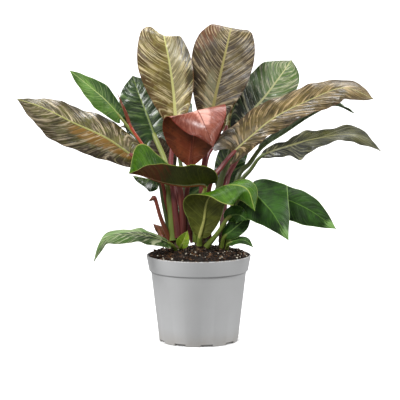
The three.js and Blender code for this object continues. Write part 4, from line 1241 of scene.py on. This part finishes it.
def stalk_mesh(leaf):
    """Points, faces and the map of one stalk, closed at both ends."""
    centres, aheads, share, length = stalk_centres(leaf)
    across = unit(np.cross(aheads[-1], np.array(leaf["up"][0], float)))
    side = np.cross(across, aheads[-1])
    sides = np.zeros_like(aheads)
    for row in reversed(range(len(aheads))):
        side = unit(side - side.dot(aheads[row]) * aheads[row])
        sides[row] = side
    others = np.cross(aheads, sides)
    angle = 2 * np.pi * np.arange(STALK_SIDES) / STALK_SIDES
    to_channel = np.minimum(angle, 2 * np.pi - angle)
    thick, thin = leaf["stalk"]
    sheath = 1 + SHEATH_SWELL * (1 - share) ** SHEATH_FADE
    knuckle = 1 + KNUCKLE_SWELL * np.exp(-(((1 - share) * length / KNUCKLE_LENGTH) ** 2))
    radius = (thick + (thin - thick) * share) * sheath * knuckle
    radius[-len(END_ROUNDING):] *= np.array(END_ROUNDING)
    form = 1 - CHANNEL_DEPTH * np.exp(-((to_channel / CHANNEL_WIDTH) ** 2))
    spread = radius[:, None, None] * form[None, :, None]
    around = np.cos(angle)[None, :, None] * sides[:, None] + np.sin(angle)[None, :, None] * others[:, None]
    points = (centres[:, None] + spread * around).reshape(-1, 3)
    along = share[:, None] * length / STALK_MAP_UNIT
    plan = np.stack(np.broadcast_arrays(to_channel[None, :] / np.pi, along), -1)
    return points, tube_faces(len(centres), STALK_SIDES), plan.reshape(-1, 2)


print("length of the stalk of", sample["name"] + ":", round(stalk_centres(sample)[3]), "mm")

# %% Stalk finish
STALK_STREAKS = 0.6


def stalk_skin_group():
    """Long fine streaks, small dashes and a colour that changes from the crown to the blade."""
    inputs = {"Plan": "Vector", "Place": "Vector", "Foot": "Color", "Top": "Color", "Streak": "Color"}
    tree, given, result = group("stalk_skin", inputs, SKIN_OUTPUTS)
    along = put(tree, "SeparateXYZ", [given["Plan"]]).outputs["Y"]
    streaks = speckle(tree, stretched(tree, given["Plan"], 9.0, 1.0, 0.0), 3.0, 4.0, 0.6)
    dashes = speckle(tree, given["Place"], 420.0, 3.0, 0.6)
    base = tint(tree, ramp(tree, along, 0.1, 1.4), given["Foot"], given["Top"])
    base = tint(tree, times(tree, ramp(tree, streaks, 0.4, 0.7), STALK_STREAKS), base, given["Streak"])
    base = tint(tree, ramp(tree, dashes, 0.62, 0.75, 0.0, 0.35), base, given["Streak"])
    tree.links.new(base, result["Color"])
    tree.links.new(ramp(tree, streaks, 0.2, 0.8, 0.32, 0.5), result["Roughness"])
    tree.links.new(calc(tree, "MULTIPLY_ADD", dashes, 0.4, streaks), result["Height"])
    return tree


STALK_SKIN = stalk_skin_group()
STALKS = {
    "red": ("4c151b", "74282f", "8a5038"),
    "coral": ("8c3424", "b24a30", "74281a"),
    "green": ("66762c", "8c9446", "4c5a22"),
    "olive": ("3c4620", "5c6834", "2c3418"),
    "dry": ("6f3a28", "8c3228", "4a2418"),
}
STALK_SLOTS = {kind: f"{kind}_stalk" for kind in STALKS} | {"coral": "red_stalk"}


def stalk_material(kind):
    """The satin skin of a stalk in the colours of its kind."""
    made, tree, shader = material(f"{kind}_stalk", Coat_Weight=0.15, Coat_Roughness=0.25, IOR=1.46)
    foot, top, streak = (colour(code) for code in STALKS[kind])
    plan = put(tree, "UVMap", uv_map="plan").outputs[0]
    skin = use(tree, STALK_SKIN, Plan=plan, Place=object_place(tree), Foot=foot, Top=top, Streak=streak)
    set_finish(tree, shader, skin["Color"], skin["Roughness"], skin["Height"], depth=0.0002)
    return made


STALK_FINISH = {kind: stalk_material(kind) for kind in STALKS}
print("stalk finishes:", len(STALK_FINISH))

# %% Grow the leaves
STALK_PLACE = 2


def joined(blade, stalk):
    """Blade and stalk as one mesh, with the stalk's faces in the third material's place."""
    points, faces, kinds, maps = blade
    its_points, its_faces, its_plan = stalk
    faces = faces + [[corner + len(points) for corner in face] for face in its_faces]
    kinds = kinds + [STALK_PLACE] * len(its_faces)
    maps = {"plan": np.vstack([maps["plan"], its_plan]),
            "veins": np.vstack([maps["veins"], np.zeros((len(its_points), 2))])}
    return np.vstack([points, its_points]), faces, kinds, maps


def grow_leaf(leaf, seed):
    """Blade and stalk of one leaf. A leaf without a path grows as one piece."""
    name, tone = leaf["name"], leaf["tone"]
    stalk_kind = skin_of(name, tone)["stalk"]
    skins = SKINS.get(name, SKINS[tone])
    stalk_skin = STALK_FINISH[stalk_kind]
    blade = blade_mesh(leaf, seed)
    stalk = stalk_mesh(leaf)
    if leaf["path"]:
        piece = make_piece(f"{name}_blade", skins, *blade)
        settle(piece, LEAF_SLOTS[tone], f"blade_{name}")
        points, faces, plan = stalk
        piece = make_piece(f"{name}_stalk", [stalk_skin], points, faces, maps={"plan": plan})
        settle(piece, STALK_SLOTS[stalk_kind], f"stalk_{name}")
    else:
        piece = make_piece(f"{name}_leaf", [*skins, stalk_skin], *joined(blade, stalk))
        settle(piece, LEAF_SLOTS[tone], f"leaf_{name}")


for seed, leaf in enumerate(LEAVES):
    grow_leaf(leaf, seed)
print("leaf pieces:", sum(2 if leaf["path"] else 1 for leaf in LEAVES))

# %% [markdown]
# The crowns
#
# Each crown is a short stem, ringed by the scars of fallen leaves and wrapped in dry papery scales.
# A turned profile alone would look machined, so its rings waver and noise roughens it. The bark takes its
# bands of brown and green from noise flattened into rings, which costs less than painting four small stems.

# %% Crown mesh
CROWN_ROWS = 60
CROWN_SIDES = 40
SCAR_SPACING = 7.0
SCAR_DEPTH = 0.35
SCAR_WAVERS = (0.8, 0.5)
BARK_ROUGH = 0.45
BARK_GRAIN = (2.2, 2.2, 0.35)
CROWN_CLOSING = 0.06
CROWN_LEAST = 0.15


def crown_rough(angle, height, x, y):
    """How far the bark stands out at one place: wavering scars and rough bark."""
    waver = SCAR_WAVERS[0] * math.sin(2 * angle + x) + SCAR_WAVERS[1] * math.sin(3 * angle + y)
    scar = SCAR_DEPTH * math.cos(2 * math.pi * (height + waver) / SCAR_SPACING) ** 3
    across, deep, up = BARK_GRAIN
    grain = Vector((math.cos(angle) * across + x, math.sin(angle) * deep, height * up))
    return scar + BARK_ROUGH * noise.fractal(grain, 0.7, 2.0, 3)


def crown_mesh(crown):
    """Points and faces of one crown, from deep in the soil to its closed top."""
    x, y = crown["at"]
    foot = POT_HEIGHT + SOIL_RISE + SOIL_HEAP / 2 - CROWN_DEPTH
    points = []
    for row in range(CROWN_ROWS + 1):
        share = row / CROWN_ROWS
        height = foot + (crown["height"] + CROWN_DEPTH) * share
        end = max(0.0, (share - 1 + CROWN_CLOSING) / CROWN_CLOSING)
        closing = max(CROWN_LEAST, math.sqrt(max(0.0, 1 - end**2)))
        for side in range(CROWN_SIDES):
            angle = 2 * math.pi * side / CROWN_SIDES
            radius = (crown_radius(share) + crown_rough(angle, height, x, y)) * closing
            points.append((x + radius * math.cos(angle), y + radius * math.sin(angle), height))
    return points, tube_faces(CROWN_ROWS + 1, CROWN_SIDES)


def crown_material():
    """Brown papery bark with green showing between the scars."""
    made, tree, shader = material("crown_bark", IOR=1.45)
    place = object_place(tree)
    bands = speckle(tree, stretched(tree, place, 1.0, 1.0, 4.0), 60.0, 5.0, 0.6)
    fibre = speckle(tree, place, 500.0, 3.0)
    base = tint(tree, ramp(tree, bands, 0.4, 0.62), colour("3a2a1c"), colour("6b5236"))
    base = tint(tree, ramp(tree, fibre, 0.5, 0.75, 0.0, 0.6), base, colour("8a7350"))
    base = tint(tree, ramp(tree, bands, 0.6, 0.74, 0.0, 0.5), base, colour("5a6a34"))
    set_finish(tree, shader, base, ramp(tree, fibre, 0.3, 0.7, 0.6, 0.85), fibre, depth=0.0006)
    return made


bark = crown_material()
for place, crown in CROWNS.items():
    settle(make_piece(f"{place}_crown", [bark], *crown_mesh(crown)), "crown", f"crown_{place}")
print("crowns:", len(CROWNS))

# %% [markdown]
# The pot
#
# A nursery pot is one thin moulded shell: a tapered wall, a stepped band under the rim, and a ribbed floor
# with slots at its foot for the water. It could be cut from a solid cylinder, but a shell is turned more
# simply from the outline of its wall. The slots and holes are then cut with Boolean modifiers.
# One flat grey would look like a drawing. Used plastic is cloudy, scuffed round the wall, dusty at the foot
# and dirty on the lip, and noise at several scales tints each of these, masked by height where it has to be.

# %% Pot mesh
POT_SIDES = 168
CORNER_STEPS = 4
CORNER_MOST = 0.45


def rounded(profile):
    """The profile with its corners rounded by quarter curves. A radius of 0 keeps a corner."""
    corners = [np.array(point[:2], float) for point in profile]
    made = []
    for index, (corner, (*_, radius)) in enumerate(zip(corners, profile)):
        if radius == 0 or index in (0, len(profile) - 1):
            made.append(tuple(corner))
            continue
        to_last, to_next = corners[index - 1] - corner, corners[index + 1] - corner
        reach = min(radius, *(np.linalg.norm(side) * CORNER_MOST for side in (to_last, to_next)))
        start, end = corner + unit(to_last) * reach, corner + unit(to_next) * reach
        for step in range(CORNER_STEPS + 1):
            w = step / CORNER_STEPS
            made.append(tuple((1 - w) ** 2 * start + 2 * w * (1 - w) * corner + w * w * end))
    return made


def pot_profile():
    """The pot's section as (radius, height, corner radius), from the middle outside to the middle inside."""
    band_foot = POT_HEIGHT - BAND_HEIGHT
    slope = (WALL_TOP_RADIUS - FOOT_RADIUS) / band_foot
    ring_inner = FOOT_RADIUS - FOOT_RING_WIDTH
    floor_top = FLOOR_RISE + FLOOR
    return [
        (0, 0, 0), (HUB_RADIUS, 0, 0.6), (HUB_RADIUS + 2, FLOOR_RISE, 0.8), (ring_inner - 1, FLOOR_RISE, 0.8),
        (ring_inner, 0, 0.5), (FOOT_RADIUS - 0.4, 0, 1.4), (WALL_TOP_RADIUS, band_foot, 1.2),
        (BAND_FOOT_RADIUS - 0.6, band_foot + 1.6, 1.2), (RIM_RADIUS - 0.3, POT_HEIGHT - 2.5, 1),
        (RIM_RADIUS, POT_HEIGHT - 1.4, 0.5), (RIM_RADIUS - 0.4, POT_HEIGHT, 0.9),
        (RIM_RADIUS - WALL - 0.8, POT_HEIGHT, 0.8), (BAND_FOOT_RADIUS - WALL, band_foot + 4, 1.5),
        (WALL_TOP_RADIUS - WALL, band_foot, 1.5), (FOOT_RADIUS - WALL + floor_top * slope, floor_top, 1.5),
        (HUB_RADIUS + 1, floor_top, 0.6), (HUB_RADIUS - 1, FLOOR, 0.6), (0, FLOOR, 0),
    ]


def turned(outline, sides):
    """Points and faces of an outline turned about +Z. The first and last points lie on the axis."""
    angle = 2 * np.pi * np.arange(sides) / sides
    across, deep = np.cos(angle), np.sin(angle)
    rings = [np.stack([r * across, r * deep, np.full(sides, z)], -1) for r, z in outline[1:-1]]
    points = np.vstack([*rings, [(0, 0, outline[0][1])], [(0, 0, outline[-1][1])]])
    faces = grid_faces(len(rings), sides, closed=True)
    first, last = len(points) - 2, len(points) - 1
    ending = (len(rings) - 1) * sides
    for side in range(sides):
        after = (side + 1) % sides
        faces.append([first, after, side])
        faces.append([last, ending + side, ending + after])
    return points, faces


print("corners of the pot's outline:", len(pot_profile()))

# %% Slots and holes
DRAIN_SIDES = 32
DRAIN_CUT = 30
POT_SHARP_ANGLE = math.radians(35)


def put_round(tool, corners, radius, turn):
    """A cutter moved out to its circle and turned about +Z."""
    bmesh.ops.translate(tool, vec=(radius, 0, 0), verts=corners)
    bmesh.ops.rotate(tool, verts=corners, matrix=Matrix.Rotation(turn, 3, "Z"))


def cutters():
    """The foot slots and the drain holes as one mesh of boxes and prisms."""
    tool = bmesh.new()
    for index in range(SLOT_COUNT):
        turn = math.radians(FIRST_SLOT_TURN + 360 / SLOT_COUNT * index)
        made = bmesh.ops.create_cube(tool, size=1.0)
        bmesh.ops.scale(tool, vec=(SLOT_LENGTH, SLOT_WIDTH, SLOT_HEIGHT * 2), verts=made["verts"])
        put_round(tool, made["verts"], FOOT_RADIUS, turn)
    for index in range(DRAIN_COUNT):
        turn = math.radians(360 / DRAIN_COUNT * index)
        made = bmesh.ops.create_cone(tool, cap_ends=True, segments=DRAIN_SIDES, radius1=DRAIN_RADIUS,
                                     radius2=DRAIN_RADIUS, depth=DRAIN_CUT)
        put_round(tool, made["verts"], DRAIN_CIRCLE, turn)
    bmesh.ops.scale(tool, vec=(MM, MM, MM), verts=tool.verts)
    mesh = bpy.data.meshes.new("pot_cutters")
    tool.to_mesh(mesh)
    tool.free()
    piece = bpy.data.objects.new("pot_cutters", mesh)
    bpy.context.collection.objects.link(piece)
    return piece


def cut_away(piece, tool):
    """The tool is cut from the piece and then removed."""
    cut = piece.modifiers.new("cut", "BOOLEAN")
    cut.operation = "DIFFERENCE"
    cut.solver = "EXACT"
    cut.object = tool
    evaluated = piece.evaluated_get(bpy.context.evaluated_depsgraph_get())
    mesh = bpy.data.meshes.new_from_object(evaluated)
    piece.modifiers.clear()
    piece.data = mesh
    bpy.data.objects.remove(tool)
    mesh.shade_smooth()
    mesh.set_sharp_from_angle(angle=POT_SHARP_ANGLE)


print("slots and holes to cut:", SLOT_COUNT + DRAIN_COUNT)

# %% Pot finish
LIP_DIRT = {"reach": 0.0016, "full": 0.0004, "share": 0.6}


def pot_material():
    """Moulded plastic: cloudy grey with faint scuffs, dust near the foot and crumbs of soil on the lip."""
    made, tree, shader = material("pot_plastic", IOR=1.49)
    place = object_place(tree)
    height = put(tree, "SeparateXYZ", [place]).outputs["Z"]
    cloud = speckle(tree, place, 14.0, 3.0)
    grain = speckle(tree, place, 1500.0, 2.0)
    scuff = speckle(tree, stretched(tree, place, 1.0, 1.0, 9.0), 120.0, 6.0, 0.7, 0.4)
    base = tint(tree, cloud, colour("a6a6a6"), colour("b1b2b3"))
    base = tint(tree, ramp(tree, scuff, 0.62, 0.74, 0.0, 0.3), base, colour("c4c4c2"))
    dust = times(tree, ramp(tree, height, 0.03, 0.0, 0.0, 0.5), speckle(tree, place, 60.0, 5.0))
    base = tint(tree, dust, base, colour("8b7d68"))
    crumbs = ramp(tree, speckle(tree, place, 340.0, 3.0), 0.44, 0.58)
    low, high = (POT_HEIGHT * MM - LIP_DIRT[end] for end in ("reach", "full"))
    lip_dirt = times(tree, ramp(tree, height, low, high, 0.0, LIP_DIRT["share"]), crumbs)
    base = tint(tree, lip_dirt, base, colour("6f5c48"))
    set_finish(tree, shader, base, ramp(tree, cloud, 0.3, 0.7, 0.42, 0.52), grain, depth=0.00004)
    return made


pot = make_piece("nursery_pot", [pot_material()], *turned(rounded(pot_profile()), POT_SIDES))
cut_away(pot, cutters())
settle(pot, "pot", "pot")
print("pot faces:", len(pot.data.polygons))

# %% [markdown]
# The soil
#
# The pot is filled to the rim with dark mix: peat, chips of bark and white grains of perlite.
# One bumpy surface would look like tar, because loose mix has real gaps and shadows. So the heap is a
# rough surface, and thousands of small stones of three kinds lie on it, each kind joined in one mesh.
# A material for each stone would be thousands more. Cells of noise give nearly every stone its own shade.

# %% Soil body
SOIL_SIDES = 160
SOIL_ROWS = 44
SOIL_ROUGH = 1.3
SOIL_GRAIN = 0.22
SOIL_GAP = 0.6
SOIL_LEAST = 0.8
EDGE_FADE = 9


def soil_point(radius, angle):
    """A point of the heap's rough top."""
    x, y = radius * math.cos(angle), radius * math.sin(angle)
    rough = SOIL_ROUGH * noise.fractal(Vector((x * SOIL_GRAIN, y * SOIL_GRAIN, 3.0)), 0.8, 2.1, 5)
    return x, y, float(soil_height(x, y)) + rough


def soil_rings():
    """Rings of points from the bottom of the fill, up along the wall and in over the heap."""
    band_foot = POT_HEIGHT - BAND_HEIGHT
    floor_top = FLOOR_RISE + FLOOR
    inset = WALL + SOIL_GAP
    edge = BAND_FOOT_RADIUS - inset + 1.5
    angles = [2 * math.pi * side / SOIL_SIDES for side in range(SOIL_SIDES)]
    walls = [(FOOT_RADIUS - inset - 1.5, floor_top + 0.3), (FOOT_RADIUS - inset, floor_top + 3),
             (WALL_TOP_RADIUS - inset - 0.2, band_foot), (BAND_FOOT_RADIUS - inset - 0.2, band_foot + 5),
             (edge, POT_HEIGHT - SOIL_EDGE_DROP)]
    rings = [[(r * math.cos(a), r * math.sin(a), z) for a in angles] for r, z in walls]
    for row in range(SOIL_ROWS):
        share = row / SOIL_ROWS
        radius = max(edge * (1 - share) - SOIL_GAP, SOIL_LEAST)
        drop = 0.6 * SOIL_EDGE_DROP * max(0.0, 1 - share * EDGE_FADE) ** 2
        ring = [soil_point(radius, angle) for angle in angles]
        rings.append([(x, y, z - drop) for x, y, z in ring])
    return rings


def soil_material():
    """Dark moist peat with paler fibres."""
    made, tree, shader = material("soil_mix", IOR=1.4)
    place = object_place(tree)
    lumps = speckle(tree, place, 260.0, 6.0, 0.65)
    fine = speckle(tree, place, 1400.0, 4.0)
    base = tint(tree, ramp(tree, lumps, 0.35, 0.7), colour("0b0602"), colour("221508"))
    base = tint(tree, ramp(tree, fine, 0.62, 0.78, 0.0, 0.5), base, colour("4e341b"))
    rough = ramp(tree, lumps, 0.3, 0.7, 0.75, 0.95)
    set_finish(tree, shader, base, rough, calc(tree, "ADD", lumps, fine), depth=0.0012)
    return made


rings = soil_rings()
points = [point for ring in rings for point in ring]
soil = make_piece("soil_mix", [soil_material()], points, tube_faces(len(rings), SOIL_SIDES))
settle(soil, "soil", "soil")
print("soil faces:", len(soil.data.polygons))

# %% Crumbs, chips and grains
SCATTER = {
    "peat_crumbs": {"count": 2600, "size": (1.0, 2.6), "flat": 0.7, "long": 1.4, "detail": 1, "sink": 0.15},
    "bark_chips": {"count": 900, "size": (2.2, 5.2), "flat": 0.4, "long": 1.9, "detail": 1, "sink": 0.1},
    "perlite_grains": {"count": 170, "size": (1.3, 2.9), "flat": 0.8, "long": 1.15, "detail": 2, "sink": 0.2},
}
SCATTER_RADIUS = 79.5
DROP_START, DROP_WIDTH = 70, 10
STONE_JITTER = 0.28
STONE_LEAN = 0.45
FULL_TURN = 6.28


def tumbling(spin, lean, roll):
    """The turning of a stone about +X, then +Y, then +Z."""
    cs, ss, cl, sl, cr, sr = (f(a) for a in (spin, lean, roll) for f in (math.cos, math.sin))
    about_z = np.array(((cs, -ss, 0), (ss, cs, 0), (0, 0, 1)))
    about_y = np.array(((cl, 0, sl), (0, 1, 0), (-sl, 0, cl)))
    about_x = np.array(((1, 0, 0), (0, cr, -sr), (0, sr, cr)))
    return about_z @ about_y @ about_x


def scatter_mesh(name, count, size, flat, long, detail, sink):
    """Small angular bodies strewn on the soil, all in one mesh. The draws are seeded by the name."""
    draw = random.Random(name)
    stone = bmesh.new()
    bmesh.ops.create_icosphere(stone, subdivisions=detail, radius=1.0)
    shape = np.array([vertex.co for vertex in stone.verts])
    corners = [[vertex.index for vertex in face.verts] for face in stone.faces]
    stone.free()
    points, faces = [], []
    for index in range(count):
        radius = SCATTER_RADIUS * math.sqrt(draw.random())
        angle = 2 * math.pi * draw.random()
        x, y, z = soil_point(radius, angle)
        z -= SOIL_EDGE_DROP * 0.5 * max(0.0, (radius - DROP_START) / DROP_WIDTH) ** 2
        grain = draw.uniform(*size) / 2
        jitter = 1 + STONE_JITTER * np.array([draw.uniform(-1, 1) for _ in shape])[:, None]
        body = shape * jitter * grain * np.array((long, 1.0, flat))
        spin, lean, roll = draw.uniform(0, FULL_TURN), draw.gauss(0, STONE_LEAN), draw.gauss(0, STONE_LEAN)
        points.append(body @ tumbling(spin, lean, roll).T + (x, y, z + grain * (flat - sink)))
        faces += [[corner + index * len(shape) for corner in face] for face in corners]
    return np.vstack(points), faces


print("stones:", sum(facts["count"] for facts in SCATTER.values()))

# %% Finish of the stones
CELLS_PER_METRE = 230.0
SCATTER_COLOURS = {
    "peat_crumbs": ("0b0602", "211308", "342110", 0.85),
    "bark_chips": ("1a0d04", "3e250f", "644323", 0.75),
    "perlite_grains": ("948c7c", "bab2a2", "dad4c6", 0.8),
}


def scatter_material(name, dark, light, pale, roughness):
    """Each body gets a colour of its own from cells of noise, and a crumbly surface."""
    made, tree, shader = material(name, IOR=1.42)
    place = object_place(tree)
    cells = put(tree, "TexVoronoi", {"Vector": place, "Scale": CELLS_PER_METRE}).outputs["Color"]
    shade = put(tree, "SeparateColor", [cells]).outputs
    crumble = speckle(tree, place, 1200.0, 4.0)
    base = tint(tree, shade[0], colour(dark), colour(light))
    base = tint(tree, ramp(tree, shade[1], 0.7, 1.0), base, colour(pale))
    base = tint(tree, ramp(tree, crumble, 0.5, 0.8, 0.0, 0.4), base, colour(dark))
    rough = ramp(tree, crumble, 0.3, 0.7, roughness - 0.1, roughness + 0.1)
    set_finish(tree, shader, base, rough, crumble, depth=0.0005)
    return made


for name, facts in SCATTER.items():
    finish = scatter_material(name, *SCATTER_COLOURS[name])
    piece = make_piece(name, [finish], *scatter_mesh(name, **facts))
    settle(piece, "soil")
    print(name, len(piece.data.polygons), "faces")

# %% [markdown]
# Last checks
#
# Both boxes are measured and the script prints the difference, with the total number of triangles. The
# pieces may not grow past the solids. The total number of triangles stays under a million, which keeps the
# model quick to load.

# %% Sizes and counts
bpy.context.view_layer.update()
visual_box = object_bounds()
growth = [round((a - b) / MM, 1) for pair in zip(solid_box, visual_box) for a, b in zip(*pair)]
shown = [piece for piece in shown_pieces() if piece.type == "MESH" and not piece.hide_render]
triangles = sum(len(face.vertices) - 2 for piece in shown for face in piece.data.polygons)
print("growth in mm:", growth, "triangles:", triangles)
